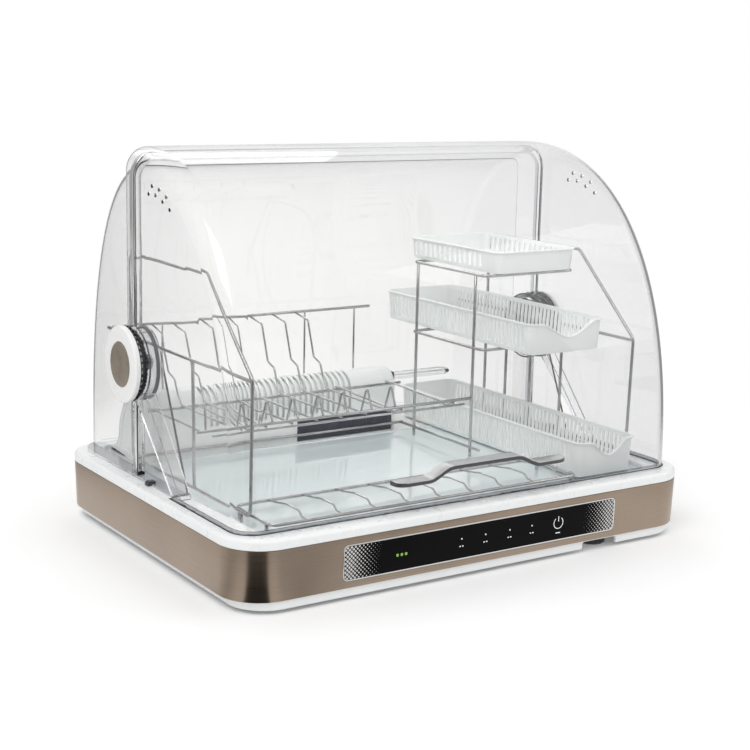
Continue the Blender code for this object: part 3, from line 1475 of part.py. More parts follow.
def build_tower(material):
    right_x = stand_x - 2 * frame_wire - gap
    low = rack_low_z
    top = tray_floor_top + tower_top
    middle = tray_floor_top + tower_mid
    base = tube("base", [(tower_x, tower_tie_y, low), (tower_x, tower_front_y, low)], frame_wire)
    pieces = [shelf_loop(tower_x, right_x, tower_front_y, tower_rear_y, z) for z in (top, middle)]
    upright_xs = ((tower_x, tower_rear_y - stand_bend, top), (tower_x, rod_y, top),
                  (right_x, tower_rear_right_y, middle), (right_x, tower_front_right_y, middle))
    for x, y, head in upright_xs:
        foot = low if x < right_x else tray_floor_top + gap
        pieces.append(tube("upright", [(x, y, foot), (x, y, head)], frame_wire))
    for y in (tower_rear_y - stand_bend, rod_y):
        pieces.append(tube("foot", [(tower_x, y, tray_floor_top + gap), (tower_x, y, low)], frame_wire, 8))
    tie_left = rack_left_x - frame_wire
    pieces.append(tube("tie", [(tie_left, tower_tie_y, low), (tower_x + frame_wire * 2, tower_tie_y, low)],
                       frame_wire))
    pieces.append(tube("hook", [(right_x, tower_rear_y - stand_bend * 2, top),
                                (right_x, stand_rear_y + frame_wire, top)], frame_wire))
    fuse(base, pieces)
    return finish(base, "basket_tower", material, (tower_x, tower_rear_y, low))


# Baskets
def basket_outline(half_x, half_y, radius, centre_x, centre_y, front_steps=6):
    """Rounded outline whose front side is divided, as (x, y, share of the scoop there)."""
    corner = rounded_rect(centre_x - half_x, centre_x + half_x, centre_y - half_y, centre_y + half_y, radius,
                          steps=2)
    outline = [(x, y, 0.0) for x, y in corner]
    start = centre_x - half_x + radius
    reach = 2 * (half_x - radius)
    for step in range(1, front_steps):
        share = step / front_steps
        dip = (1.0 - math.cos(2 * math.pi * share)) / 2
        outline.append((start + reach * share, centre_y - half_y, dip))
    return outline


def build_basket(name, material, left_x, right_x, front_y, rear_y, low_z, height, scoop, slots_from, foot_z=None):
    centre_x = (left_x + right_x) / 2
    centre_y = (front_y + rear_y) / 2
    half_x = (right_x - left_x) / 2 - basket_lip
    half_y = (rear_y - front_y) / 2 - basket_lip
    top_z = low_z + height

    def ring(inset, level, from_top):
        outline = basket_outline(half_x - inset, half_y - inset, basket_corner - inset, centre_x, centre_y)
        if from_top:
            return [(x, y, top_z - level - scoop * dip) for x, y, dip in outline]
        return [(x, y, low_z + level) for x, y, dip in outline]

    rings = [ring(basket_draft, 0.0, False), ring(0.0, basket_lip_thick, True),
             ring(-basket_lip, basket_lip_thick, True), ring(-basket_lip, 0.0, True),
             ring(basket_wall, 0.0, True), ring(basket_draft + basket_wall, basket_wall, False)]
    basket = loft("basket", rings)
    tools = []
    first_y = max(front_y + slot_end_margin, slots_from)
    last_y = rear_y - slot_end_margin
    count = round((last_y - first_y) / slot_pitch)
    for index in range(count + 1):
        y = last_y - slot_pitch * index
        tools.append(block("slot", (left_x - overrun, y - slot_width / 2, low_z + slot_margin),
                           (right_x + overrun, y + slot_width / 2, top_z - slot_margin)))
    cut(basket, tools)
    drains = []
    count = round((rear_y - front_y - 2 * slot_end_margin) / drain_pitch)
    for index in range(count + 1):
        y = front_y + slot_end_margin + drain_pitch * index
        drains.append(block("drain", (left_x + slot_end_margin, y, low_z - overrun),
                            (right_x - slot_end_margin, y + drain_width, low_z + basket_wall + gap)))
    cut(basket, drains)
    if foot_z is not None:
        feet = []
        y = front_y + basket_lip + basket_draft + basket_foot
        for x in (left_x + slot_end_margin, right_x - slot_end_margin - basket_foot):
            feet.append(block("foot", (x, y, foot_z), (x + basket_foot, y + basket_foot, low_z + basket_wall / 2)))
        fuse(basket, feet)
    return finish(basket, name, material, (left_x, front_y, low_z))


def build_baskets(material):
    right_x = stand_x - frame_wire - basket_right_clear
    seat_top = tray_floor_top + tower_top + frame_wire + gap
    seat_middle = tray_floor_top + tower_mid + frame_wire + gap
    build_basket("basket_top", material, basket_top_left_x, right_x, basket_top_front_y, basket_top_rear_y,
                 seat_top, basket_top_height, 0.0, rod_y)
    build_basket("basket_middle", material, basket_middle_left_x, right_x, basket_middle_front_y,
                 basket_middle_rear_y, seat_middle, basket_middle_height, scoop_depth, basket_middle_front_y)
    low_right_x = stand_x - 3 * frame_wire - 2 * gap
    build_basket("basket_bottom", material, basket_bottom_left_x, low_right_x, basket_bottom_front_y,
                 basket_bottom_rear_y, deck_top - tray_rim_drop + gap, basket_bottom_height, scoop_depth,
                 basket_bottom_front_y, tray_floor_top + gap)


def main():
    clear_scene()
    white = make_material("white_plastic", (0.80, 0.83, 0.85), 0.35)
    pan = make_material("pan_plastic", (0.74, 0.77, 0.78), 0.45)
    rubber = make_material("foot_rubber", (0.06, 0.06, 0.065), 0.85)
    steel = make_material("champagne_steel", (0.42, 0.33, 0.27), 0.38, 0.9)
    seal_rubber = make_material("seal_rubber", (0.10, 0.105, 0.11), 0.75)
    tray_plastic = make_material("tray_plastic", (0.74, 0.81, 0.84), 0.12)
    bright = make_material("bright_trim", (0.78, 0.78, 0.78), 0.18, 0.9)
    glass = make_material("panel_glass", (0.012, 0.012, 0.014), 0.06)
    board = make_material("board_laminate", (0.05, 0.22, 0.11), 0.5)
    clear = make_material("clear_plastic", (0.86, 0.88, 0.90), 0.05, 0.0, 0.9)
    grip = make_material("grip_plastic", (0.36, 0.38, 0.40), 0.2)
    cap_white = make_material("cap_plastic", (0.88, 0.88, 0.88), 0.3)
    dark = make_material("dark_plastic", (0.035, 0.036, 0.04), 0.5)
    grille_dark = make_material("grille_plastic", (0.02, 0.028, 0.042), 0.4)
    housing_white = make_material("housing_plastic", (0.80, 0.85, 0.87), 0.3)
    tube_glass = make_material("lamp_glass", (0.85, 0.87, 0.92), 0.08)
    chrome = make_material("wire_chrome", (0.66, 0.67, 0.68), 0.16, 1.0)
    basket_white = make_material("basket_plastic", (0.84, 0.88, 0.90), 0.35)
    pin_steel = make_material("pin_steel", (0.60, 0.60, 0.61), 0.25, 1.0)
    fin_metal = make_material("fin_aluminium", (0.62, 0.63, 0.64), 0.35, 0.9)
    motor_metal = make_material("motor_steel", (0.40, 0.41, 0.42), 0.4, 0.8)
    case_grey = make_material("case_plastic", (0.30, 0.31, 0.33), 0.6)
    build_feet(rubber)
    build_base_tray(pan)
    build_band(steel)
    build_panel(bright, glass, board)
    build_gland(dark)
    build_ballast(case_grey)
    build_deck(white)
    build_seal(seal_rubber)
    build_drip_tray(tray_plastic)
    pivot = empty("cover_pivot", (0.0, pivot_y, pivot_z))
    build_rear_shell(clear)
    build_front_cover(clear, pivot)
    build_handle(grip, pivot)
    parts = {"pin": pin_steel, "ring": dark, "cap": cap_white, "badge": steel, "clip": dark, "magnet": pin_steel,
             "sensor": dark}
    build_pivot_parts(parts, pivot)
    axle = empty("fan_axle", (0.0, fan_y, housing_bottom + fan_rise))
    build_housing(housing_white)
    build_grille(grille_dark)
    build_blower(dark, motor_metal, axle)
    build_heater(fin_metal)
    build_lamp(tube_glass, dark)
    build_stand(-1.0, chrome, "wire_stand_left")
    build_stand(1.0, chrome, "wire_stand_right")
    build_plate_rack(chrome)
    build_saucer_rack(chrome)
    build_tower(chrome)
    build_baskets(basket_white)


main()
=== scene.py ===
import json
import math

import bmesh
import bpy
from mathutils import Matrix, Vector

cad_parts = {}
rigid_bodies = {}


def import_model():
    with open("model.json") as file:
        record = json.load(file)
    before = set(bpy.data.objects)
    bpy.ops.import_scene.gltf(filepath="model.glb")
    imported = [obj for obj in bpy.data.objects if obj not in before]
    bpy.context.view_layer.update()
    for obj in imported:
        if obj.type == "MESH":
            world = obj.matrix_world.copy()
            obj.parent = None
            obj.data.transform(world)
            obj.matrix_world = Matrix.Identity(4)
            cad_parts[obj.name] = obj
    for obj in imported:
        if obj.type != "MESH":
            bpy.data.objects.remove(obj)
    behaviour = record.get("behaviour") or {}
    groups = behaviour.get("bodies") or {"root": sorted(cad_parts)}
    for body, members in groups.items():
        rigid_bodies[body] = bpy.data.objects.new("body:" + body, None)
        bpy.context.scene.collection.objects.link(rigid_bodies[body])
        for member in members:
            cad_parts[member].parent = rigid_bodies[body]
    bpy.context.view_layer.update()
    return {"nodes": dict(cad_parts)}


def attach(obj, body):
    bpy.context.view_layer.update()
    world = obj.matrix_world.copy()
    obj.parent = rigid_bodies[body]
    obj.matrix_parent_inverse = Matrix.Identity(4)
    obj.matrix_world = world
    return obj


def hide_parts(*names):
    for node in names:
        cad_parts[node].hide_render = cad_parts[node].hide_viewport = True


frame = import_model()
print("cabinet frame loaded:", len(frame["nodes"]), "nodes")

# gap between touching pieces, and how far a cutting tool reaches past the piece
gap = 0.0003
past = 0.008
quarter = math.pi / 2


class Sizes(dict):
    # a dictionary whose values also read as sizes.name
    __getattr__ = dict.__getitem__


# shaping tools
def newPiece(name, points, faces):
    mesh = bpy.data.meshes.new(name)
    shape = bmesh.new()
    corners = [shape.verts.new(point) for point in points]
    for face in faces:
        shape.faces.new([corners[index] for index in face])
    bmesh.ops.recalc_face_normals(shape, faces=shape.faces)
    shape.to_mesh(mesh)
    shape.free()
    piece = bpy.data.objects.new(name, mesh)
    bpy.context.scene.collection.objects.link(piece)
    return piece


def ringFaces(rings, closed, start=0):
    # rings of equal count are joined in order, and capped unless they close on themselves
    count, rows = len(rings[0]), len(rings)
    faces = []
    for row in range(rows if closed else rows - 1):
        low, high = start + row * count, start + (row + 1) % rows * count
        faces += [(low + i, low + (i + 1) % count, high + (i + 1) % count, high + i) for i in range(count)]
    if not closed:
        last = start + (rows - 1) * count
        faces += [tuple(range(start, start + count)), tuple(range(last, last + count))]
    return faces


def skinRings(name, rings, closed=False):
    return newPiece(name, [point for ring in rings for point in ring], ringFaces(rings, closed))


def slab(name, outline, axis, low, high):
    place = {"X": lambda a, b, d: (d, a, b), "Y": lambda a, b, d: (a, d, b), "Z": lambda a, b, d: (a, b, d)}[axis]
    return skinRings(name, [[place(a, b, depth) for a, b in outline] for depth in (low, high)])


def brick(name, low, high):
    outline = ((low[0], low[1]), (high[0], low[1]), (high[0], high[1]), (low[0], high[1]))
    return slab(name, outline, "Z", low[2], high[2])


def sideSlab(name, outline, sign, inner, outer):
    return slab(name, outline, "X", *sorted((sign * inner, sign * outer)))


def sides(name, outline, inner, outer):
    return [sideSlab(name, outline, sign, inner, outer) for sign in (-1.0, 1.0)]


def ringOf(a, b, radius, count):
    return [(a + radius * math.cos(2 * math.pi * i / count), b + radius * math.sin(2 * math.pi * i / count))
            for i in range(count)]


def bow(steps, first=0):
    # sine and cosine at even steps of a quarter turn
    return [(math.sin(quarter * s / steps), math.cos(quarter * s / steps)) for s in range(first, steps + 1)]


def roundRect(x0, x1, y0, y1, front, rear=None, steps=12):
    rear = front if rear is None else rear
    corners = ((x1 - front, y0 + front, front, -quarter), (x1 - rear, y1 - rear, rear, 0.0),
               (x0 + rear, y1 - rear, rear, quarter), (x0 + front, y0 + front, front, 2 * quarter))
    return [(cx + r * math.cos(start + quarter * s / steps), cy + r * math.sin(start + quarter * s / steps))
            for cx, cy, r, start in corners for s in range(steps + 1)]


def rectLoop(halfX, halfY, radius, z, inset=0.0):
    halfX, halfY = halfX - inset, halfY - inset
    return [(x, y, z) for x, y in roundRect(-halfX, halfX, -halfY, halfY, radius - inset, steps=16)]


def uLine(halfX, openY, closedY, radius, inset=0.0):
    side = 1.0 if closedY > openY else -1.0
    halfX, closedY, radius = halfX - inset, closedY - side * inset, radius - inset
    turn = [(halfX - radius + radius * across, closedY + side * radius * (up - 1.0)) for up, across in bow(12)]
    return [(halfX, openY)] + turn + [(-x, y) for x, y in reversed(turn)] + [(-halfX, openY)]


def uStrip(name, outer, inner, low, high):
    # a strip between two u lines, each (half width, open end, closed end, radius, inset)
    lines = uLine(*outer), uLine(*inner)
    count = len(lines[0])
    points = [(x, y, level) for line in lines for level in (low, high) for x, y in line]
    faces = []
    for i in range(count - 1):
        j = i + 1
        faces += [(i, j, count + j, count + i), (2 * count + i, 2 * count + j, 3 * count + j, 3 * count + i),
                  (i, j, 2 * count + j, 2 * count + i), (count + i, count + j, 3 * count + j, 3 * count + i)]
    faces += [(i, count + i, 3 * count + i, 2 * count + i) for i in (0, count - 1)]
    return newPiece(name, points, faces)


def roundCorners(points, bend, steps=6):
    places = [Vector(point) for point in points]
    path = [places[0]]
    for before, corner, after in zip(places, places[1:], places[2:]):
        back, ahead = before - corner, after - corner
        half = back.angle(ahead) / 2
        if half > quarter - 0.02:
            path.append(corner)
            continue
        reach = min(bend / math.tan(half), back.length / 2.1, ahead.length / 2.1)
        start, end = corner + back.normalized() * reach, corner + ahead.normalized() * reach
        for share in (step / steps for step in range(steps + 1)):
            path.append(start.lerp(corner, share).lerp(corner.lerp(end, share), share))
    return path + [places[-1]]


def wireRings(places, radius, count, closed):
    total = len(places)
    spans = [(places[(i + 1) % total] - places[i]).normalized() for i in range(total if closed else total - 1)]
    guide = Vector((0.0, 0.0, 1.0)) if abs(spans[0].z) < 0.9 else Vector((1.0, 0.0, 0.0))
    side = spans[0].cross(guide).normalized()
    rings = []
    for index, place in enumerate(places):
        incoming = spans[index - 1] if (index > 0 or closed) else spans[0]
        outgoing = spans[index] if index < len(spans) else spans[-1]
        heading = (incoming + outgoing).normalized()
        side = (side - heading * side.dot(heading)).normalized()
        across = heading.cross(side)
        ring = [place + radius * (a * side + b * across) for a, b in ringOf(0.0, 0.0, 1.0, count)]
        if not closed and index in (0, total - 1):
            # an open end is slightly rounded off
            inward = outgoing if index == 0 else -incoming
            small = [place + (point - place) * 0.7 for point in ring]
            ring = [point + inward * radius * 0.3 for point in ring]
            rings += [small, ring] if index == 0 else [ring, small]
        else:
            rings.append(ring)
    return rings


def wireFrame(name, wires, count=12):
    # wires: (points, radius, bend radius, closed); all of them make one welded piece
    points, faces = [], []
    for path, radius, bend, closed in wires:
        route = roundCorners(path, bend) if bend else [Vector(p) for p in path]
        rings = wireRings(route[1:-1] if closed else route, radius, count, closed)
        faces += ringFaces(rings, closed, len(points))
        points += [point for ring in rings for point in ring]
    return newPiece(name, points, faces)


def settle(piece):
    graph = bpy.context.evaluated_depsgraph_get()
    old, piece.data = piece.data, bpy.data.meshes.new_from_object(piece.evaluated_get(graph))
    piece.modifiers.clear()
    bpy.data.meshes.remove(old)


def combine(piece, tools, operation):
    group = bpy.data.collections.new("tools")
    bpy.context.scene.collection.children.link(group)
    for tool in tools:
        bpy.context.scene.collection.objects.unlink(tool)
        group.objects.link(tool)
    modifier = piece.modifiers.new("combine", "BOOLEAN")
    modifier.operation = operation
    modifier.solver = "EXACT"
    modifier.operand_type = "COLLECTION"
    modifier.collection = group
    settle(piece)
    for tool in list(group.objects):
        bpy.data.objects.remove(tool, do_unlink=True)
    bpy.data.collections.remove(group)


def weld(piece, tools):
    combine(piece, tools, "UNION")


def carve(piece, tools):
    combine(piece, tools, "DIFFERENCE")


def softenEdges(piece, width, angle):
    modifier = piece.modifiers.new("soften", "BEVEL")
    modifier.width = width
    modifier.segments = 2
    modifier.limit_method = "ANGLE"
    modifier.angle_limit = math.radians(angle)
    modifier.harden_normals = False
    settle(piece)


def fitOut(piece, finish, body, nodes=(), smooth=32.0, second=None, isSecond=None):
    # the second finish goes on the faces that isSecond picks by middle and normal
    mesh = piece.data
    mesh.name = piece.name
    mesh.materials.clear()
    mesh.materials.append(finishes[finish])
    if second:
        mesh.materials.append(finishes[second])
    for face in mesh.polygons:
        face.material_index = 1 if second and isSecond(face.center, face.normal) else 0
    mesh.shade_smooth()
    mesh.set_sharp_from_angle(angle=math.radians(smooth))
    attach(piece, body)
    if nodes:
        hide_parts(*nodes)


# finishes
class Graph:
    # the shader nodes of one finish or of the world; each step hands back an output
    def __init__(self, tree):
        self.nodes, self.links = tree.nodes, tree.links

    def fill(self, node, values):
        # outputs are linked, plain values are set
        for key, value in values.items():
            if isinstance(value, bpy.types.NodeSocket):
                self.links.new(value, node.inputs[key])
            else:
                node.inputs[key].default_value = value
        return node.outputs

    def add(self, kind, values):
        return self.fill(self.nodes.new("ShaderNode" + kind), values)

    def sums(self, operation, *values, kind="Math", out=0):
        node = self.nodes.new("ShaderNode" + kind)
        node.operation = operation
        return self.fill(node, dict(enumerate(values)))[out]

    def vectors(self, operation, *values, out="Vector"):
        return self.sums(operation, *values, kind="VectorMath", out=out)

    def blend(self, factor, first, second, kind="MIX"):
        node = self.nodes.new("ShaderNodeMix")
        node.data_type = "RGBA"
        node.blend_type = kind
        return self.fill(node, {0: factor, 6: first, 7: second})[2]

    def cover(self, factor, first, second):
        return self.add("MixShader", {0: factor, 1: first, 2: second})["Shader"]

    def place(self, scale=(1.0, 1.0, 1.0)):
        return self.add("Mapping", {"Vector": self.add("TexCoord", {})["Object"], "Scale": scale})["Vector"]

    def noise(self, place, scale, detail=3.0, rough=0.55):
        return self.add("TexNoise", {"Vector": place, "Scale": scale, "Detail": detail, "Roughness": rough})["Fac"]

    def spread(self, value, low, high, fromLow=0.3, fromHigh=0.7):
        return self.add("MapRange", {"Value": value, "From Min": fromLow, "From Max": fromHigh, "To Min": low,
                                     "To Max": high})["Result"]

    def tints(self, value, stops, interpolation="LINEAR"):
        node = self.nodes.new("ShaderNodeValToRGB")
        node.color_ramp.interpolation = interpolation
        elements = node.color_ramp.elements
        for index, (position, colour) in enumerate(stops):
            element = elements[index] if index < 2 else elements.new(position)
            element.position = position
            element.color = (*colour, 1.0)
        return self.fill(node, {"Fac": value})["Color"]

    def greys(self, value, stops):
        return self.tints(value, [(position, (grey, grey, grey)) for position, grey in stops], "EASE")

    def bump(self, height, strength, distance):
        return self.add("Bump", {"Height": height, "Strength": strength, "Distance": distance})["Normal"]

    def split(self, vector):
        return self.add("SeparateXYZ", {"Vector": vector})


def startFinish(name):
    finish = bpy.data.materials.new(name)
    finish.use_nodes = True
    graph = Graph(finish.node_tree)
    return finish, graph, graph.nodes["Principled BSDF"], graph.place()


def shade(colour, factor):
    return tuple(min(channel * factor, 1.0) for channel in colour)


def drifting(colour, change, low):
    return ((low, shade(colour, 1.0 - change)), (1.0 - low, shade(colour, 1.0 + change)))


def mouldedPlastic(name, colour, roughness, grain=900.0, grainDepth=0.00003, coat=0.0, change=0.03, sheer=0.0):
    # moulded plastic: faint colour drift, fine skin grain and a gloss that varies a little
    finish, graph, shader, place = startFinish(name)
    graph.fill(shader, {
        "Base Color": graph.tints(graph.noise(place, 9.0), drifting(colour, change, 0.32)),
        "Roughness": graph.spread(graph.noise(place, 42.0, 5.0, 0.65), roughness * 0.82, roughness * 1.25),
        "Normal": graph.bump(graph.noise(place, grain, 2.0), 0.1, grainDepth), "IOR": 1.49, "Coat Weight": coat,
        "Coat Roughness": 0.05, "Subsurface Weight": sheer, "Subsurface Radius": (0.004, 0.004, 0.004),
        "Subsurface Scale": 1.0})
    return finish


def brushedChampagne(name, colour, roughness, scale):
    # brushed steel: long fine streaks with a warm clear coating
    finish, graph, shader, place = startFinish(name)
    streaks = graph.noise(graph.place(scale), 1.0, 4.0, 0.7)
    cloud = graph.spread(graph.noise(place, 7.0, 2.0), 0.0, 0.25)
    stops = ((0.25, shade(colour, 0.80)), (0.5, colour), (0.8, shade(colour, 1.22)))
    graph.fill(shader, {
        "Base Color": graph.tints(graph.sums("MULTIPLY_ADD", streaks, 0.75, cloud), stops),
        "Roughness": graph.spread(streaks, roughness * 0.8, roughness * 1.3),
        "Normal": graph.bump(streaks, 0.25, 0.00004), "Metallic": 1.0, "Anisotropic": 0.82,
        "Anisotropic Rotation": 0.25})
    return finish


def polishedMetal(name, colour, roughness, change=0.12):
    # plated metal: bright, with faint draw lines and small dulled places
    finish, graph, shader, place = startFinish(name)
    dull = graph.noise(place, 60.0, 4.0, 0.6)
    graph.fill(shader, {
        "Base Color": graph.tints(dull, drifting(colour, change, 0.3)),
        "Roughness": graph.spread(dull, roughness * 0.7, roughness * 1.7),
        "Normal": graph.bump(graph.noise(place, 1400.0, 2.0), 0.15, 0.00002), "Metallic": 1.0})
    return finish


def clearMoulding(name, tint, roughness, along):
    # clear moulded plastic: lightly smoked, darker where the wall is seen along its length, with painted shade that
    # darkens it a little towards the right side
    finish, graph, shader, place = startFinish(name)
    flow = graph.noise(place, 6.0, 2.0)
    facing = graph.add("LayerWeight", {"Blend": 0.5})["Facing"]
    slant, steep = (tuple(a * (1.0 - share) + b * share for a, b in zip(tint, along)) for share in (0.16, 0.45))
    smoke = graph.tints(graph.sums("MULTIPLY_ADD", flow, 0.05, facing),
                        ((0.24, tint), (0.50, slant), (0.80, steep), (0.93, along), (1.0, shade(along, 0.8))))
    # painted shade: the tint falls off a little from the middle towards the right side of the shells
    right = graph.spread(graph.split(place)["X"], 0.0, 1.0, 0.0, 0.27)
    side = graph.tints(right, ((0.0, (1.0, 1.0, 1.0)), (1.0, (0.945, 0.945, 0.955))))
    graph.fill(shader, {
        "Base Color": graph.blend(1.0, smoke, side, "MULTIPLY"),
        "Roughness": graph.spread(graph.noise(place, 26.0, 5.0, 0.7), roughness * 0.5, roughness * 1.6),
        "Normal": graph.bump(flow, 0.05, 0.002), "Transmission Weight": 1.0, "IOR": 1.46})
    # lamps light what stands inside through the wall
    letThrough = graph.add("BsdfTransparent", {"Color": (0.99, 0.99, 0.99, 1.0)})["BSDF"]
    shadow = graph.add("LightPath", {})["Is Shadow Ray"]
    graph.fill(graph.nodes["Material Output"], {"Surface": graph.cover(shadow, shader.outputs["BSDF"], letThrough)})
    return finish


smoked = (0.56, 0.57, 0.60)
finishRows = (
    ("deck_white", mouldedPlastic, (0.84, 0.855, 0.855), 0.28, {"coat": 0.08, "change": 0.012}),
    ("pan_grey", mouldedPlastic, (0.85, 0.865, 0.865), 0.4, {"change": 0.015}),
    ("tray_gloss", mouldedPlastic, (0.75, 0.83, 0.84), 0.06, {"coat": 0.6, "change": 0.015}),
    ("cap_white", mouldedPlastic, (0.86, 0.86, 0.855), 0.2, {"coat": 0.3, "change": 0.01}),
    ("housing_white", mouldedPlastic, (0.87, 0.895, 0.89), 0.3, {"change": 0.012}),
    ("basket_white", mouldedPlastic, (0.89, 0.915, 0.905), 0.33, {"change": 0.012, "sheer": 0.1}),
    ("dark_plastic", mouldedPlastic, (0.028, 0.029, 0.032), 0.4, {"change": 0.2}),
    ("slot_navy", mouldedPlastic, (0.014, 0.022, 0.042), 0.45, {"change": 0.2}),
    ("seal_rubber", mouldedPlastic, (0.03, 0.031, 0.034), 0.6,
     {"grain": 500.0, "grainDepth": 0.00005, "change": 0.15}),
    ("foot_rubber", mouldedPlastic, (0.04, 0.04, 0.042), 0.8, {"grain": 400.0, "grainDepth": 0.0001, "change": 0.2}),
    ("grip_top", mouldedPlastic, (0.40, 0.40, 0.405), 0.1, {"coat": 0.5, "change": 0.04}),
    ("grip_edge", mouldedPlastic, (0.045, 0.046, 0.05), 0.12, {"coat": 0.5, "change": 0.1}),
    ("case_grey", mouldedPlastic, (0.22, 0.23, 0.25), 0.5, {"change": 0.1}),
    ("board_green", mouldedPlastic, (0.03, 0.14, 0.07), 0.45, {"grain": 300.0, "change": 0.2}),
    ("band_champagne", brushedChampagne, (0.405, 0.32, 0.25), 0.3, {"scale": (5.0, 5.0, 1500.0)}),
    ("badge_champagne", brushedChampagne, (0.42, 0.355, 0.28), 0.3, {"scale": (5.0, 60.0, 60.0)}),
    ("wire_chrome", polishedMetal, (0.49, 0.49, 0.49), 0.15, {}),
    ("bezel_chrome", polishedMetal, (0.78, 0.77, 0.76), 0.12, {"change": 0.05}),
    ("pin_steel", polishedMetal, (0.50, 0.50, 0.51), 0.22, {}),
    ("fin_metal", polishedMetal, (0.56, 0.57, 0.58), 0.35, {}),
    ("motor_steel", polishedMetal, (0.34, 0.35, 0.36), 0.35, {}),
    ("clear_shell", clearMoulding, (0.975, 0.973, 0.967), 0.012, {"along": smoked}),
    ("clear_cover", clearMoulding, (0.975, 0.973, 0.967), 0.012, {"along": smoked}),
    # dark tints for the cut edges of the clear walls, painted shade where those edges look dark
    ("clear_edge", clearMoulding, (0.22, 0.23, 0.26), 0.03, {"along": (0.12, 0.125, 0.15)}),
    ("rim_edge", clearMoulding, (0.40, 0.41, 0.45), 0.03, {"along": (0.24, 0.25, 0.29)}),
    ("lamp_glass", clearMoulding, (0.97, 0.975, 0.98), 0.012, {"along": (0.45, 0.46, 0.48)}),
)
finishes = {name: mixed(name, colour, roughness, **more) for name, mixed, colour, roughness, more in finishRows}
print("finishes mixed:", len(finishes))


# base: pan, steel band, feet
base = Sizes(halfX=0.280, halfY=0.20875, corner=0.045, panBottom=0.0125, bandBottom=0.013, bandTop=0.063,
             taper=0.0015, sheet=0.001, skirtX=0.009, skirtY=0.00325, skirtHeight=0.0085, skirtWall=0.003,
             notchX=0.1525, notchWidth=0.047, edge=0.0007, wall=0.0025)
panel = Sizes(halfX=0.170, height=0.037, rise=0.0065, corner=0.006, ring=0.0016, proud=0.0002, glassProud=0.0001,
              dotPitch=0.0044, powerX=0.0926, powerZ=0.0012, powerRadius=0.0060, stroke=0.00042, keyZ=0.0035,
              keyRadius=0.0006, dashX=0.0016, dashZ=-0.0042, lightZ=-0.001, lightRadius=0.0009, footZ=-0.0095,
              keyX=(-0.0314, -0.0017, 0.0289, 0.0576), lightX=(-0.108, -0.103, -0.098))
bandHeight = base.bandTop - base.bandBottom
panelZ = base.bandBottom + panel.rise + panel.height / 2


def leanAt(z):
    return base.taper * (base.bandTop - z) / bandHeight


panelMiddle = Vector((0.0, leanAt(panelZ) - base.halfY, panelZ))
panelLean = Matrix.Translation(panelMiddle) @ Matrix.Rotation(math.atan(base.taper / bandHeight), 4, "X")


def bandLoops(levels):
    return [rectLoop(base.halfX, base.halfY, base.corner, z, leanAt(z) + inset) for z, inset in levels]


def panelOutline(grow):
    halfX, halfZ = panel.halfX + grow, panel.height / 2 + grow
    return roundRect(-halfX, halfX, -halfZ, halfZ, panel.corner + grow, steps=6)


def makePan():
    halfX, halfY = base.halfX - base.skirtX, base.halfY - base.skirtY
    radius = base.corner - base.skirtX + base.skirtY
    low, top, wall, edge = base.panBottom - base.skirtHeight, base.panBottom, base.skirtWall, base.edge
    rings = [rectLoop(halfX, halfY, radius, z, inset) for z, inset in (
        (top, wall), (low + edge, wall), (low, wall - edge), (low, edge), (low + edge, 0.0), (top, 0.0))]
    seat, inner = base.sheet + gap, base.sheet + gap + base.wall
    rings += bandLoops(((top, seat), (base.bandTop, seat), (base.bandTop, inner), (top + base.wall + gap, inner)))
    pan = skinRings("base_pan", rings)
    half = base.notchWidth / 2
    notch = roundRect(base.notchX - half, base.notchX + half, low - 0.01, top - 0.0008, 0.001, 0.003, 5)
    carve(pan, [slab("notch", notch, "Y", -base.halfY, past - halfY)])
    fitOut(pan, "pan_grey", "cabinet", ["base_tray"])


def makeBand():
    edge, low, top = base.edge * 0.6, base.bandBottom, base.bandTop
    band = skinRings("steel_band", bandLoops((
        (low + edge, 0.0), (low + 0.3 * edge, 0.25 * edge), (low, edge), (low, base.sheet), (top, base.sheet),
        (top, edge), (top - 0.3 * edge, 0.25 * edge), (top - edge, 0.0))), closed=True)
    window = [(x, z + panelZ) for x, z in panelOutline(0.0)]
    carve(band, [slab("window", window, "Y", -base.halfY - past, past / 2 - base.halfY)])
    fitOut(band, "band_champagne", "cabinet", ["metal_band"])


makePan()
makeBand()
print("base dressed")


# touch panel
def blackGlass(name):
    # black touch glass with a printed fade of silver diamonds at both ends
    finish, graph, shader, place = startFinish(name)
    parts = graph.split(place)
    x, z = parts["X"], graph.sums("SUBTRACT", parts["Z"], panelMiddle.z)
    size = graph.spread(graph.sums("ABSOLUTE", x), -0.0002, panel.dotPitch * 0.36, 0.121, 0.160)
    across, along = (graph.sums("PINGPONG", graph.sums(way, x, z), panel.dotPitch / 2) for way in ("ADD", "SUBTRACT"))
    inDot = graph.sums("MULTIPLY", graph.sums("LESS_THAN", across, size), graph.sums("LESS_THAN", along, size))
    smudge = graph.noise(place, 30.0, 5.0, 0.7)
    dark = graph.tints(smudge, ((0.3, (0.0015, 0.0015, 0.0018)), (0.7, (0.003, 0.003, 0.0035))))
    graph.fill(shader, {"Base Color": graph.blend(inDot, dark, (0.62, 0.61, 0.60, 1.0)),
                        "Roughness": graph.spread(smudge, 0.05, 0.11), "Specular IOR Level": 0.08})
    return finish


def glowMark(name, colour, strength):
    finish, graph, shader, place = startFinish(name)
    tint = graph.tints(graph.noise(place, 400.0), ((0.3, shade(colour, 0.92)), (0.7, colour)))
    graph.fill(shader, {"Base Color": tint, "Roughness": 0.4, "Emission Color": (*colour, 1.0),
                        "Emission Strength": strength})
    return finish


finishes["panel_glass"] = blackGlass("panel_glass")
finishes["panel_mark"] = glowMark("panel_mark", (0.75, 0.77, 0.78), 0.25)
finishes["status_light"] = glowMark("status_light", (0.22, 0.42, 0.06), 0.2)


def onPanel(piece, finish, nodes=()):
    piece.data.transform(panelLean)
    fitOut(piece, finish, "cabinet", nodes)


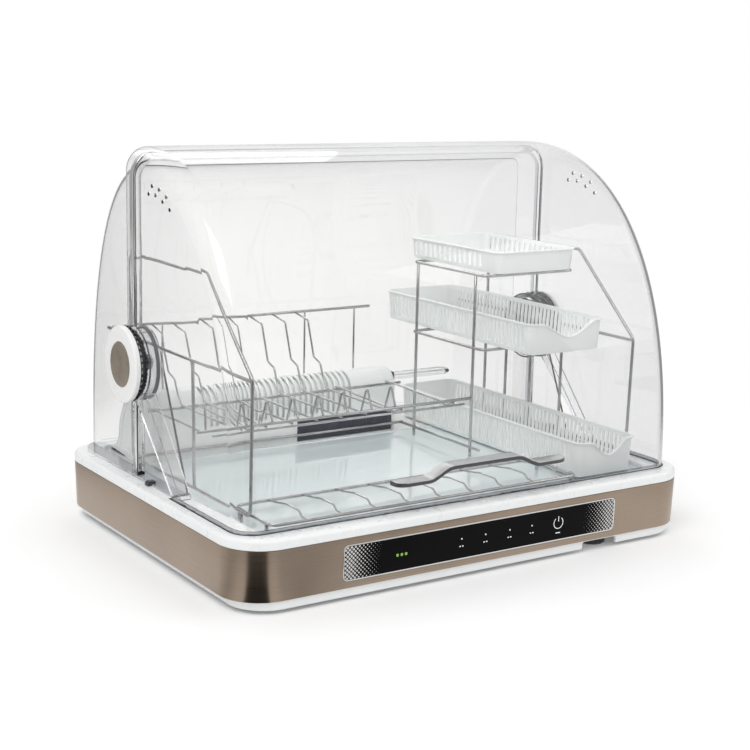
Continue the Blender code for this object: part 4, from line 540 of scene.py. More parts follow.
def makePanel():
    proud, ring, back = panel.proud, panel.ring + gap, 0.004
    levels = ((-gap, 0.0001), (-0.0005, -proud), (-panel.ring, -proud), (-ring, 0.0002), (-ring, back), (-gap, back))
    rings = [[(x, depth, z) for x, z in panelOutline(grow)] for grow, depth in levels]
    onPanel(skinRings("panel_rim", rings, closed=True), "bezel_chrome", ["panel_bezel"])
    glass = slab("touch_glass", panelOutline(-ring - gap), "Y", -panel.glassProud, 0.0021)
    onPanel(glass, "panel_glass", ["control_panel"])
    # the power mark, the row of small key lights and the status lights, as lines with half their width
    x, z, radius = panel.powerX, panel.powerZ, panel.powerRadius
    angles = [math.radians(128 + 284 * step / 36) for step in range(37)]
    marks = [([(x + radius * math.cos(angle), z + radius * math.sin(angle)) for angle in angles], panel.stroke),
             ([(x, z + radius * 0.25), (x, z + radius * 1.2)], panel.stroke),
             ([(x - 0.003, panel.footZ), (x + 0.003, panel.footZ)], 0.0005)]
    for x in panel.keyX:
        marks.append((closedRing(x, panel.keyZ, panel.keyRadius, 8), panel.keyRadius / 2))
        for middle in (x - panel.dashX, x + panel.dashX):
            marks.append(([(middle - 0.0009, panel.dashZ), (middle + 0.0009, panel.dashZ)], 0.00055))
    drawMarks("panel_marks", "panel_mark", marks)
    lights = [(closedRing(x, panel.lightZ, panel.lightRadius, 10), 0.0007) for x in panel.lightX]
    drawMarks("status_lights", "status_light", lights)


def closedRing(x, z, radius, count):
    return ringOf(x, z, radius, count) + [(x + radius, z)]


def drawMarks(name, finish, marks):
    # flat strokes that stand a hair proud of the glass
    points, faces = [], []
    for line, half in marks:
        start, last = len(points), len(line) - 1
        for index, (x, z) in enumerate(line):
            before, after = line[max(index - 1, 0)], line[min(index + 1, last)]
            dx, dz = after[0] - before[0], after[1] - before[1]
            length = math.hypot(dx, dz) or 1.0
            nx, nz = -dz / length * half, dx / length * half
            for depth in (-panel.glassProud - 0.00006, gap - panel.glassProud):
                points += [(x + nx, depth, z + nz), (x - nx, depth, z - nz)]
        for a in range(start, start + last * 4, 4):
            faces += [(a, a + 1, a + 5, a + 4), (a + 2, a + 3, a + 7, a + 6), (a, a + 2, a + 6, a + 4),
                      (a + 1, a + 3, a + 7, a + 5)]
        faces += [(a, a + 1, a + 3, a + 2) for a in (start, start + last * 4)]
    onPanel(newPiece(name, points, faces), finish)


makePanel()
print("touch panel dressed")


# white deck with its groove, drip tray and seal
deck = Sizes(bottom=0.0633, top=0.0733, round=0.004, step=0.001, plateau=0.0672, ledge=0.0652, wellX=0.2435,
             wellFront=-0.179, wellRear=0.191, wellCorner=0.020, splitY=0.108, grooveX=0.2692, grooveFront=-0.1897,
             grooveWidth=0.0071, grooveCorner=0.0257, grooveDepth=0.0028, grooveRear=-0.038, flatX=0.2643,
             plug=(0.2734, 0.20215, 0.0384), plugLow=0.058, edge=0.0004, ledgeWidth=0.0115, holeCorner=0.014)
dish = Sizes(halfX=0.2432, front=-0.1787, rear=0.1077, corner=0.0197, wall=0.002, cove=0.001, coveTop=0.0685)
strip = Sizes(outline=(0.2689, -0.0383, -0.1894, 0.0254), width=0.0065, low=0.0705, top=0.0734)


def makeDeck():
    full = (base.halfX, base.halfY, base.corner)
    rings = [rectLoop(*deck.plug, deck.plugLow), rectLoop(*deck.plug, deck.bottom),
             rectLoop(*full, deck.bottom, deck.edge), rectLoop(*full, deck.bottom + deck.edge)]
    rings += [rectLoop(*full, deck.top - deck.round + deck.round * up, deck.round * (1.0 - across))
              for up, across in bow(8)]
    rings += [rectLoop(*full, deck.top, deck.round + extra) for extra in (0.0005, 0.0012)]
    body = skinRings("white_deck", rings)
    above, width, margin = deck.top + past, deck.grooveWidth, deck.ledgeWidth
    well = (-deck.wellX, deck.wellX, deck.wellFront)
    hole = (margin - deck.wellX, deck.wellX - margin, deck.wellFront + margin, deck.splitY - margin, deck.holeCorner)
    flat = (-deck.flatX, deck.flatX, deck.grooveFront + width / 2, base.halfY + 0.01, deck.grooveCorner - width / 2)
    groove = (deck.grooveX, deck.grooveRear, deck.grooveFront, deck.grooveCorner)
    tools = [slab("cut", roundRect(*outline), "Z", low, above) for low, outline in (
        (deck.plateau, (*well, deck.wellRear, deck.wellCorner)),
        (deck.ledge, (*well, deck.splitY, deck.wellCorner, 0.003)),
        (0.05, hole), (deck.top - deck.step, (*flat, 0.003)))]
    tools.append(uStrip("groove", groove, (*groove, width), deck.top - deck.grooveDepth - gap, above))
    for tool in tools:
        carve(body, [tool])
    softenEdges(body, 0.0003, 60.0)
    fitOut(body, "deck_white", "cabinet", ["deck"])


def makeDripTray():
    wall, cove = dish.wall, dish.cove
    levels = [(0.0008, 0.0655), (0.0002, 0.0661), (0.0, 0.0683), (0.0003, 0.0688), (0.0009, 0.0689),
              (wall - 0.0003, 0.0689), (wall, 0.0686)]
    levels += [(wall + 0.0002 + cove * (1.0 - across), dish.coveTop - cove * up) for up, across in bow(6)]
    rings = [[(x, y, z) for x, y in roundRect(inset - dish.halfX, dish.halfX - inset, dish.front + inset,
                                              dish.rear - inset, dish.corner - inset)] for inset, z in levels]
    fitOut(skinRings("drip_dish", rings), "tray_gloss", "cabinet", ["drip_tray"])


def makeSeal():
    seal = uStrip("groove_seal", strip.outline, (*strip.outline, strip.width), strip.low, strip.top)
    softenEdges(seal, 0.0006, 50.0)
    fitOut(seal, "seal_rubber", "cabinet", ["cover_seal"])


makeDeck()
makeDripTray()
makeSeal()
print("deck and tray dressed")


# clear shells
archSteps = 56
rear = Sizes(halfX=0.248, rearY=0.205, wall=0.0025, corner=0.012, centreY=0.058, centreZ=0.0715, top=0.3955,
             power=2.4, rimY=0.047, rimDepth=0.010, rimReach=0.0145, rimThick=0.009, rimEdge=0.0012,
             edgeLine=0.0045, flare=0.030, flangeLow=0.0726, flangeTop=0.075, flangeWidth=0.016,
             flangeCorner=0.040, grooveRear=-0.038, bossRadius=0.0375, bossReach=0.0125, bossWall=0.003,
             bossWeb=0.0025, pinRadius=0.005, hub=0.009, backRadius=0.0409)
front = Sizes(halfX=0.2675, frontY=-0.188, wall=0.0025, corner=0.024, bottom=0.0737, top=0.4135, power=2.3,
              centreY=0.056, centreZ=0.0715, rearY=0.057, bead=0.004, footLine=0.0024, edgeTopY=0.041,
              edgeTopZ=0.1592, edgeFootY=-0.0425, edgeFootZ=0.0767, lipTop=(0.018, 0.166),
              lipFoot=(-0.0605, 0.0757), lipReach=0.011, lipSheet=0.0025, earRadius=0.0395, hubHole=0.035,
              vents=7, ventRadius=0.0021, ventPitch=0.0155, ventY=0.005, ventDrop=0.0355, ventHeight=0.3705,
              ventRow=0.0082)
axis = (0.054, 0.193)


def turnOnAxis(name, profile, sign, count=96):
    # a profile of (radius, distance from the middle) turned round the cover's axis; radius 0 closes it
    rings = [[(sign * x, y, z) for y, z in (ringOf(*axis, radius, count) if radius else [axis])]
             for radius, x in profile]
    starts = [sum(len(ring) for ring in rings[:row]) for row in range(len(rings))]
    faces = []
    for row in range(len(rings) if profile[0][0] else len(rings) - 1):
        after = (row + 1) % len(rings)
        low, high = starts[row], starts[after]
        for i in range(count):
            j = (i + 1) % count
            if len(rings[row]) == 1:
                faces.append((low, high + j, high + i))
            elif len(rings[after]) == 1:
                faces.append((low + i, low + j, high))
            else:
                faces.append((low + i, low + j, high + j, high + i))
    return newPiece(name, [point for ring in rings for point in ring], faces)


def archLine(size, closedY, side, footZ, endY):
    # the side view's curve from the foot over the top, each point with its outward normal
    centreY, centreZ, power = size.centreY, size.centreZ, size.power
    halfY, halfZ = side * (closedY - centreY), size.top - centreZ
    points = [(closedY, footZ, side, 0.0)]
    pastTop = (endY - centreY) * side <= 0
    last = quarter if pastTop else math.acos(((endY - centreY) * side / halfY) ** (power / 2))
    for step in range(1, archSteps + (0 if pastTop else 1)):
        angle = last * step / archSteps
        across, up = math.cos(angle) ** (2 / power), math.sin(angle) ** (2 / power)
        slopeY, slopeZ = side * across ** (power - 1) / halfY, up ** (power - 1) / halfZ
        length = math.hypot(slopeY, slopeZ)
        points.append((centreY + side * halfY * across, centreZ + halfZ * up, slopeY / length, slopeZ / length))
    if pastTop:
        points += [(y, size.top, 0.0, 1.0) for y in (centreY, endY)]
    return points


def insetRing(line, x, inset):
    return [(x, y - inset * outY, z - inset * outZ) for y, z, outY, outZ in line]


def archBlock(name, size, line, wall, endY, bottomZ):
    reach = size.corner - wall
    stations = [(size.halfX - wall - reach * (1.0 - up), wall + reach * (1.0 - across)) for up, across in bow(10)]
    rings = []
    for x, inset in [(-x, inset) for x, inset in reversed(stations)] + stations:
        ring = insetRing(line, x, inset)
        ring[0] = (x, ring[0][1], bottomZ)
        ring[-1] = (x, endY, ring[-1][2])
        rings.append(ring + [(x, endY, bottomZ)])
    return skinRings(name, rings)


def hollowArch(name, size, line, side, endY, footZ):
    shell = archBlock(name, size, line, 0.0, endY, footZ)
    carve(shell, [archBlock("inside", size, line, size.wall, endY - side * past, footZ - past)])
    return shell


def makeRearShell():
    wall, halfX, rimY, back = rear.wall, rear.halfX, rear.rimY, rear.rimY + rear.flare
    frontY, footZ = back - wall, (rear.flangeLow + rear.flangeTop) / 2
    line = archLine(rear, rear.rearY, 1.0, footZ, frontY)
    shell = hollowArch("rear_clear", rear, line, 1.0, frontY, footZ)
    # the thick rim in front of the arch, as (distance out of the wall, depth)
    reach, inner, edge, tip = rear.rimReach, rear.rimReach - rear.rimThick, rear.rimEdge, wall * 0.12
    section = ((reach, rimY + edge), (reach, rimY + rear.rimDepth), (-tip, back), (tip - wall, back),
               (tip - wall, frontY), (inner, rimY + rear.rimDepth * 1.3), (inner, rimY + rear.edgeLine),
               (inner, rimY + edge), (inner + edge, rimY), (reach - edge, rimY))
    flareTop, corner = line[-1][1] - wall / 8, rear.corner
    right = [[(halfX - corner + across * (corner + r), y, flareTop - corner + up * (corner + r)) for r, y in section]
             for across, up in bow(10)]
    right.append([(halfX + r, y, rear.flangeTop - 0.0008) for r, y in section])
    pieces = [skinRings("flare", [[(-x, y, z) for x, y, z in ring] for ring in reversed(right)] + right)]
    pieces.append(uStrip("flange", (halfX + rear.flangeWidth, rear.grooveRear, rear.rearY + 0.0015,
                                    rear.flangeCorner),
                         (halfX - wall - gap, rear.grooveRear, rear.rearY - wall - gap, corner - wall),
                         rear.flangeLow, rear.flangeTop))
    # a cheek from the flange's end, touching the boss, closes the wall in front of the arch
    foot, radius = Vector((rear.grooveRear, footZ)), rear.bossRadius - gap
    toAxis = Vector(axis) - foot
    heading = Matrix.Rotation(math.asin(radius / toAxis.length), 2) @ toAxis.normalized()
    touch = foot + heading * math.sqrt(toAxis.length ** 2 - radius ** 2)
    highZ = axis[1] + rear.bossRadius / 2
    cheek = (tuple(foot), (back, footZ), (back, highZ), (axis[0], highZ), tuple(touch))
    weld(shell, pieces + sides("cheek", cheek, halfX - wall + 0.0001, halfX - 0.0001))
    clear = ringOf(*axis, rear.bossRadius - rear.bossWall / 2, 72)
    carve(shell, sides("clearing", clear, halfX - past, halfX + 0.0225))
    face, innerX = halfX + rear.bossReach, halfX - wall + 0.0004
    bore, hollow, webX = rear.pinRadius + gap, rear.bossRadius - rear.bossWall, face - rear.bossWeb
    profile = ((bore, innerX - gap), (rear.hub, innerX - gap), (rear.hub, webX), (hollow, webX), (hollow, innerX),
               (rear.bossRadius, innerX), (rear.bossRadius, face), (bore, face))
    weld(shell, [turnOnAxis("boss", profile, sign, 72) for sign in (-1.0, 1.0)])
    carve(shell, sides("back_cut", ringOf(*axis, rear.backRadius, 72), face + gap, face + past))

    def isEdge(middle, normal):
        # the inner edge of the rim, the boss's outside and the shell's foot, which get a dark tint as painted shade
        if normal.z < -0.9 and middle.z < rear.flangeLow + 0.0005:
            return True
        outward = Vector((0.0, middle.y - axis[0], middle.z - axis[1]))
        if abs(outward.length - rear.bossRadius) < 0.0006 and abs(normal.x) < 0.1:
            return abs(middle.x) > halfX + 0.0005 and outward.normalized().dot(normal) > 0.9
        if not rimY + 0.0001 < middle.y < rimY + rear.edgeLine - 0.0001:
            return False
        toMiddle = Vector((middle.x, 0.0, middle.z - 0.15))
        inside = abs(middle.x) < halfX + inner + 0.002 and middle.z < flareTop + inner + 0.002
        return inside and normal.dot(toMiddle) < -0.02 * toMiddle.length

    fitOut(shell, "clear_shell", "cabinet", ["rear_shell"], 28.0, "rim_edge", isEdge)


coverLine = archLine(front, front.frontY, -1.0, front.bottom, front.rearY)


def meetCover(known, value):
    # the cover's height over a depth (known 0), or its depth at a height (known 1)
    for one, two in zip(coverLine, coverLine[1:]):
        if min(one[known], two[known]) <= value <= max(one[known], two[known]) and one[known] != two[known]:
            share = (value - one[known]) / (two[known] - one[known])
            return one[1 - known] + (two[1 - known] - one[1 - known]) * share
    return None


def makeFrontCover():
    halfX, footY, bottom, inner = front.halfX, front.edgeFootY, front.bottom, front.halfX - front.wall
    cover = hollowArch("front_clear", front, coverLine, -1.0, front.rearY, bottom)
    below, behind = bottom - past, front.rearY + past
    trim = ((front.edgeTopY, front.edgeTopZ), (footY, front.edgeFootZ), (footY, below), (behind, below),
            (behind, front.edgeTopZ))
    carve(cover, [slab("trim", trim, "X", -0.28, 0.28)])
    foot = (halfX, footY - gap, front.frontY, front.corner)
    pieces = [uStrip("bead", (*foot, front.wall / 2), (*foot, front.bead), bottom, bottom + front.footLine)]
    lipTop, lipFoot = Vector(front.lipTop), Vector(front.lipFoot)
    heading = (lipTop - lipFoot).normalized()
    aside = Vector((-heading.y, heading.x)) * front.lipSheet
    lip, lipEnd = [tuple(p) for p in (lipFoot, lipTop, lipTop + aside, lipFoot + aside)], inner - front.lipReach
    pieces += sides("lip", lip, lipEnd, halfX - front.wall / 2)
    pieces += sides("ear", ringOf(*axis, front.earRadius, 72), inner + 0.0001, halfX - 0.0001)
    weld(cover, pieces)
    holes = sides("hub", ringOf(*axis, front.hubHole, 72), halfX - past, halfX + past)
    for index in range(front.vents):
        y = front.ventY - front.ventPitch * index / 2
        z = min(front.ventHeight, meetCover(0, y) - front.ventDrop) + (front.ventRow if index % 2 else 0.0)
        holes += sides("vent", ringOf(y, z, front.ventRadius, 20), halfX - past, halfX + past)
    carve(cover, holes)
    slope = Vector((0.0, -aside.x, -aside.y)).normalized()

    def isEdge(middle, normal):
        # the cut edges of the wall: rear rim, foot, pivot holes, lip ends and sloping side edge, which get a dark tint
        # as painted shade
        if normal.y > 0.95 and middle.y > front.rearY - gap or normal.z < -0.95 and middle.z < bottom + gap:
            return True
        if abs(normal.z) < 0.5 and middle.z < bottom + front.footLine + 0.0001:
            if normal.dot(Vector((-middle.x, 0.05 - middle.y, 0.0))) > 0.0:
                return True
        if abs(normal.x) < 0.1 and math.hypot(middle.y - axis[0], middle.z - axis[1]) < front.hubHole + 0.0006:
            return True
        if abs(normal.x) > 0.9 and abs(abs(middle.x) - lipEnd) < 0.0004:
            return True
        return abs(normal.dot(slope)) > 0.97 and abs(middle.x) > inner - 0.0002

    fitOut(cover, "clear_cover", "cover", ["front_cover"], 28.0, "clear_edge", isEdge)


makeRearShell()
makeFrontCover()
print("clear shells moulded")


# grip strip on the cover
grip = Sizes(half=0.105, flat=0.038, slope=0.032, low=0.104, rise=0.0105, thick=0.0045, reach=0.0165,
             round=0.0011, taper=0.012)


def makeGrip():
    rampStart = grip.flat + grip.slope
    stations = [-grip.half + grip.taper * (1.0 - across) for _up, across in bow(6)]
    stations += [-rampStart - (grip.half - grip.taper - rampStart) * (1 - s / 3) for s in (1, 2)]
    stations += [-rampStart + grip.slope * s / 16 for s in range(17)]
    turn = [(grip.round * (1.0 - up), grip.round * (1.0 - across)) for up, across in bow(4)]
    rings = []
    for x in stations + [-x for x in reversed(stations)]:
        ramp = min(max((rampStart - abs(x)) / grip.slope, 0.0), 1.0)
        middle = grip.low + grip.rise * (1.0 - math.cos(math.pi * ramp)) / 2
        low, high = middle - grip.thick / 2, middle + grip.thick / 2
        backY = min(meetCover(1, low), meetCover(1, high)) - gap
        share = min((grip.half - abs(x)) / grip.taper, 1.0)
        frontY = backY - grip.reach * (0.5 + 0.5 * math.sqrt(max(1.0 - (1.0 - share) ** 2, 0.0)))
        rings.append([(x, backY, low), (x, backY, high)] + [(x, frontY + a, high - b) for a, b in turn]
                     + [(x, frontY + b, low + a) for a, b in turn])
    fitOut(skinRings("grip_strip", rings), "grip_top", "cover", ["cover_handle"], 32.0, "grip_edge",
           lambda middle, normal: normal.z < 0.55)


makeGrip()


# pivot caps, badges, toothed rings, spoked rings, and dark rings on the bosses as painted shade
pivot = Sizes(capIn=0.270, capOut=0.278, capRadius=0.040, collarIn=0.0350, collarOut=0.0362, collarX=0.2687,
              skirtIn=0.2725, edge=0.0022, chamfer=0.0006, badge=0.0231, badgeThick=0.0015, recess=0.0011,
              ringIn=0.2611, ringOut=0.2697, ringRadius=0.0347, neckRadius=0.0317, slit=0.0007, teeth=48,
              tooth=0.0011, spokes=36, spokeIn=0.2680, spokeOut=0.2722, spokeRadius=0.0390, spokeRim=0.0007,
              bossRingIn=0.2492, bossRingOut=0.2530, bossRingRadius=0.0389)


def toothed(count, steps):
    # a ring of equal teeth, each drawn by (share of the pitch, radius)
    turns = [(2 * math.pi * (tooth + share) / count, radius) for tooth in range(count) for share, radius in steps]
    return [(axis[0] + radius * math.cos(angle), axis[1] + radius * math.sin(angle)) for angle, radius in turns]


def makePivot(side, sign):
    radius, out, chamfer, floorX = pivot.capRadius, pivot.capOut, pivot.chamfer, pivot.capOut - pivot.recess
    lip, badge, face = pivot.badge + gap, pivot.badge, floorX + pivot.badgeThick
    profile = [(0.0, pivot.capIn), (pivot.collarIn, pivot.capIn), (pivot.collarIn, pivot.collarX),
               (pivot.collarOut, pivot.collarX), (pivot.collarOut, pivot.skirtIn), (radius - chamfer, pivot.skirtIn),
               (radius, pivot.skirtIn + chamfer)]
    profile += [(radius - pivot.edge * (1 - across), out - pivot.edge * (1 - up)) for up, across in bow(8)]
    profile += [(lip + chamfer, out), (lip, out - 0.0005), (lip, floorX), (0.0, floorX)]
    fitOut(turnOnAxis("cap_" + side, profile, sign), "cap_white", "cover", ["pivot_cap_" + side])
    profile = ((0.0, floorX + gap), (badge, floorX + gap), (badge, face - 0.0004), (badge - 0.0005, face),
               (badge * 0.5, face - 0.00005), (0.0, face - 0.0001))
    fitOut(turnOnAxis("badge_" + side, profile, sign), "badge_champagne", "cover", ["pivot_badge_" + side])
    middle, high, low = (pivot.ringIn + pivot.ringOut) / 2, pivot.ringRadius, pivot.ringRadius - pivot.tooth
    teeth = toothed(pivot.teeth, ((0.0, high), (0.42, high), (0.5, low), (0.92, low)))
    ring = sideSlab("damper_" + side, teeth, sign, pivot.ringIn, middle - pivot.slit)
    neck = ringOf(*axis, pivot.neckRadius, 72)
    weld(ring, [sideSlab("disc", teeth, sign, middle + pivot.slit, pivot.ringOut),
                sideSlab("neck", neck, sign, pivot.ringIn + 0.0005, pivot.ringOut - 0.0005)])
    fitOut(ring, "dark_plastic", "cover", ["damper_ring_" + side])
    inner, outer, rim = pivot.collarOut + 0.0002, pivot.spokeRadius, pivot.spokeRim
    low, high = inner - 0.0004, outer - 0.0002
    star = toothed(pivot.spokes, ((0.0, low), (0.7, low), (0.7, high), (1.0, high)))
    spokes = sideSlab("spoke_ring_" + side, star, sign, pivot.spokeIn, pivot.spokeOut)
    for x0, x1 in ((pivot.spokeIn - 0.0001, pivot.spokeIn + rim), (pivot.spokeOut - rim, pivot.spokeOut + 0.0001)):
        weld(spokes, [sideSlab("rim", ringOf(*axis, outer, 96), sign, x0, x1)])
    carve(spokes, [sideSlab("bore", ringOf(*axis, inner, 96), sign, pivot.spokeIn - past, pivot.spokeOut + past)])
    fitOut(spokes, "dark_plastic", "cover")
    # a thin dark ring round each clear boss is painted shade where the thick clear boss looks dark
    inner, outer, x0, x1 = rear.bossRadius + 0.0001, pivot.bossRingRadius, pivot.bossRingIn, pivot.bossRingOut
    profile = ((inner, x0), (outer - gap, x0), (outer, x0 + gap), (outer, x1 - gap), (outer - gap, x1), (inner, x1))
    fitOut(turnOnAxis("boss_shade_ring_" + side, profile, sign), "dark_plastic", "cabinet")


for sideName, sideSign in (("left", -1.0), ("right", 1.0)):
    makePivot(sideName, sideSign)
print("pivots dressed")


# rear housing with its louvres
housing = Sizes(left=-0.229, right=0.102, frontY=0.110, bottom=0.0675, frontHeight=0.0535, round=0.022,
                back=0.0585, wall=0.0022, endRound=0.004, endSteps=((0.0035, 0.0008), (0.0085, 0.0016)),
                louvreFirst=-0.150, louvreLast=0.037, louvrePitch=0.0075, louvreWidth=0.0036, louvreLow=0.0325,
                baffle=0.0052, baffleBack=0.0064, grilleLeft=-0.034, grilleRight=0.097, grilleLow=0.002,
                grilleHeight=0.0265, grillePitch=0.0046, bar=0.0005)
housingBack = ((0.12, 0.99), (0.25, 0.94), (0.36, 0.84), (0.45, 0.72), (0.55, 0.56), (0.61, 0.42), (0.63, 0.3),
               (0.69, 0.2), (0.78, 0.125), (0.9, 0.075), (1.0, 0.05))


def housingLine():
    # the end view from the front foot over the crest and down the wave of the back, with outward normals
    shoulderZ, crestY = housing.bottom + housing.frontHeight, housing.frontY + housing.round
    rise = housing.frontHeight + housing.round
    line = [(housing.frontY, housing.bottom), (housing.frontY, shoulderZ)]
    line += [(crestY - housing.round * across, shoulderZ + housing.round * up) for up, across in bow(10, 1)]
    knots = [(crestY + housing.back * a, housing.bottom + rise * h) for a, h in ((0.0, 1.0), *housingBack)]
    for index in range(len(knots) - 1):
        around = [knots[min(max(index + step, 0), len(knots) - 1)] for step in (-1, 0, 1, 2)]
        for t in (0.5, 1.0):
            line.append(tuple(0.5 * (2 * b + (c - a) * t + (2 * a - 5 * b + 4 * c - d) * t * t
                                     + (3 * b - a - 3 * c + d) * t ** 3) for a, b, c, d in zip(*around)))
    out = []
    for index, (y, z) in enumerate(line):
        before, after = line[max(index - 1, 0)], line[min(index + 1, len(line) - 1)]
        heading = Vector((after[0] - before[0], after[1] - before[1])).normalized()
        out.append((y, z, -heading.y, heading.x))
    return [(*point, -1.0, 0.0) for point in line[:2]] + out[2:-1] + [(*line[-1], 1.0, 0.0)]


def housingBlock(name, line, stations, lowZ):
    rings = []
    for x, inset in stations:
        ring = insetRing(line, x, inset)
        ring[0] = (x, ring[0][1], lowZ)
        rings.append(ring + [(x, ring[-1][1], lowZ)])
    return skinRings(name, rings)


def makeHousing():
    line, left, right, wall = housingLine(), housing.left, housing.right, housing.wall
    low, frontY, crestY = housing.bottom, housing.frontY, housing.frontY + housing.round
    rounds = [(housing.endRound * (1.0 - up), housing.endRound * (1.0 - across)) for up, across in bow(5)]
    stations = [(left + back, inset) for inset, back in rounds]
    stations += [(right - back, inset) for inset, back in reversed(rounds)]
    body = housingBlock("louvred_housing", line, stations, low)
    carve(body, [housingBlock("inside", line[:-8], ((left + wall, wall), (right - wall, wall)), low - past)])
    half, slotZ, grilleZ = housing.louvreWidth / 2, low + housing.louvreLow, low + housing.grilleLow
    topZ = low + housing.frontHeight + housing.round + 0.01
    slots = []
    for index in range(round((housing.louvreLast - housing.louvreFirst) / housing.louvrePitch) + 1):
        x = housing.louvreFirst + housing.louvrePitch * index
        outline = roundRect(x - half, x + half, slotZ, topZ, half * 0.95, 0.0004, 4)
        slots.append(slab("louvre", outline, "Y", frontY - past, crestY - gap))
    slots.append(brick("grille_window", (housing.grilleLeft, frontY - past, grilleZ),
                       (housing.grilleRight, frontY + 0.0033, grilleZ + housing.grilleHeight)))
    carve(body, slots)
    for inset, deep in housing.endSteps:
        carve(body, [housingBlock("end_step", line[:-5], ((left - past, inset), (left + deep, inset)), low + 0.004)])
    fitOut(body, "housing_white", "cabinet", ["rear_housing"], 30.0)
    # pale baffle close behind the slots
    path = [(frontY, slotZ - 0.001, -1.0, 0.0)] + [p for p in line if p[1] > slotZ and p[0] < crestY + 0.001]
    rings = [insetRing(path, x, housing.baffle) + insetRing(reversed(path), x, housing.baffleBack)
             for x in (housing.louvreFirst - past, housing.louvreLast + past)]
    fitOut(skinRings("louvre_baffle", rings), "housing_white", "cabinet", (), 30.0)


def makeGrille():
    # navy plate with fine upright bars and cross bars just proud of it
    frontY, bar, edge = housing.frontY, housing.bar, 0.0004
    left, right, low = housing.grilleLeft + edge, housing.grilleRight - edge, housing.bottom + housing.grilleLow + edge
    high = low + housing.grilleHeight - 2 * edge
    plate = brick("fine_grille", (left, frontY + 0.0012, low), (right, frontY + 0.0028, high))
    count = round((right - left) / housing.grillePitch)
    uprights = [left + 0.0006 + (right - left - 0.0012) * index / count for index in range(count + 1)]
    crosses = [low + 0.0007 + (high - low - 0.0014) * row / 3 for row in range(4)]
    bars = [brick("bar", (x - bar, frontY + 0.0006, low + 0.0002), (x + bar, frontY + 0.0016, high - 0.0002))
            for x in uprights]
    bars += [brick("cross", (left + 0.0001, frontY + 0.0007, z - bar), (right - 0.0001, frontY + 0.0015, z + bar))
             for z in crosses]
    weld(plate, bars)
    fitOut(plate, "slot_navy", "cabinet", ["vent_grille"], 30.0)


makeHousing()
makeGrille()
print("housing dressed")


# lamp: a thin tube with a turn at its end
lamp = Sizes(radius=0.0032, z=0.128, start=0.1053, turnX=0.1876, frontY=0.131, rearY=0.145)


def makeLamp():
    middle, bend = (lamp.frontY + lamp.rearY) / 2, (lamp.rearY - lamp.frontY) / 2
    angles = [math.pi * step / 16 - quarter for step in range(17)]
    path = [(lamp.start, lamp.frontY)]
    path += [(lamp.turnX + bend * math.cos(angle), middle + bend * math.sin(angle)) for angle in angles]
    path.append((lamp.start, lamp.rearY))
    tube = wireFrame("lamp_tube", [([(x, y, lamp.z) for x, y in path], lamp.radius, 0.0, False)], 24)
    fitOut(tube, "lamp_glass", "cabinet", ["uv_lamp"])


makeLamp()


# wire work
wire = Sizes(frame=0.00175, thin=0.0011, lower=0.0013, bend=0.009, foot=0.0678, low=0.078, standX=0.236,
             rackZ=0.1315, railZ=0.209, railY=0.176, rodY=-0.0315, supportY=0.1003, left=-0.2322)
stand = Sizes(loop=((-0.019, 0.078), (0.112, 0.078), (0.112, 0.298), (-0.054, 0.298), (-0.150, 0.211),
                    (-0.147, 0.078), (-0.01725, 0.078)), railFront=-0.1494, feet=(0.088, -0.128))
rack = Sizes(span=0.344, first=0.1494, pitch=0.08866, count=7, posts=(0.1962, 0.7253, 0.9273), right=0.105,
             postFoot=0.0896, veeWidth=0.014, veeHeight=0.0262, tail=0.004)
dividerShares = ((0.0, 1.0), (0.411, 0.94), (0.493, 0.72), (0.608, 0.41), (0.8055, 0.345), (0.904, 0.14), (1.0, 0.0))
crossShares = ((0.07, 0.0), (0.78, -0.03), (0.89, -0.07), (0.945, -0.03), (0.976, 0.0))
saucer = Sizes(right=0.137, rearY=-0.106, frontY=-0.181, rise=0.006, count=9, first=0.1008, pitch=0.1056)
saucerShares = ((0.0, 0.1), (0.25, 0.5), (0.5, 1.0), (0.8, 1.0), (0.88, 0.3), (1.0, 0.15))
tower = Sizes(left=0.108, right=0.2322, rearY=0.088, frontY=-0.049, top=0.2737, middle=0.1917, tieY=0.1075,
              leftPost=0.079, rightPosts=(0.066, 0.020), tail=(0.070, 0.11375))


def rod(start, end, radius=wire.frame):
    return ([start, end], radius, 0.0, False)


def frameLoop(left, right, frontY, rearY, z):
    middle = (left + right) / 2
    corners = ((middle, rearY), (left, rearY), (left, frontY), (right, frontY), (right, rearY),
               (middle + wire.frame, rearY))
    return ([(x, y, z) for x, y in corners], wire.frame, wire.bend, True)


def sharePath(x, shares, rearY, frontY, low, rise):
    return [(x, rearY + (frontY - rearY) * depth, low + rise * share) for depth, share in shares]


def wirePiece(name, node, wires):
    fitOut(wireFrame(name, wires), "wire_chrome", "cabinet", [node], 60.0)


def makeStand(side, sign):
    x, low, railZ, rodY = sign * wire.standX, wire.low, wire.railZ, wire.rodY
    wires = [([(x, y, z) for y, z in stand.loop], wire.frame, wire.bend, True),
             rod((x, stand.railFront, railZ), (x, wire.railY, railZ)), rod((x, rodY, low), (x, rodY, railZ))]
    wirePiece("side_stand_" + side, "wire_stand_" + side, wires + [rod((x, y, wire.foot), (x, y, low))
                                                                   for y in stand.feet])


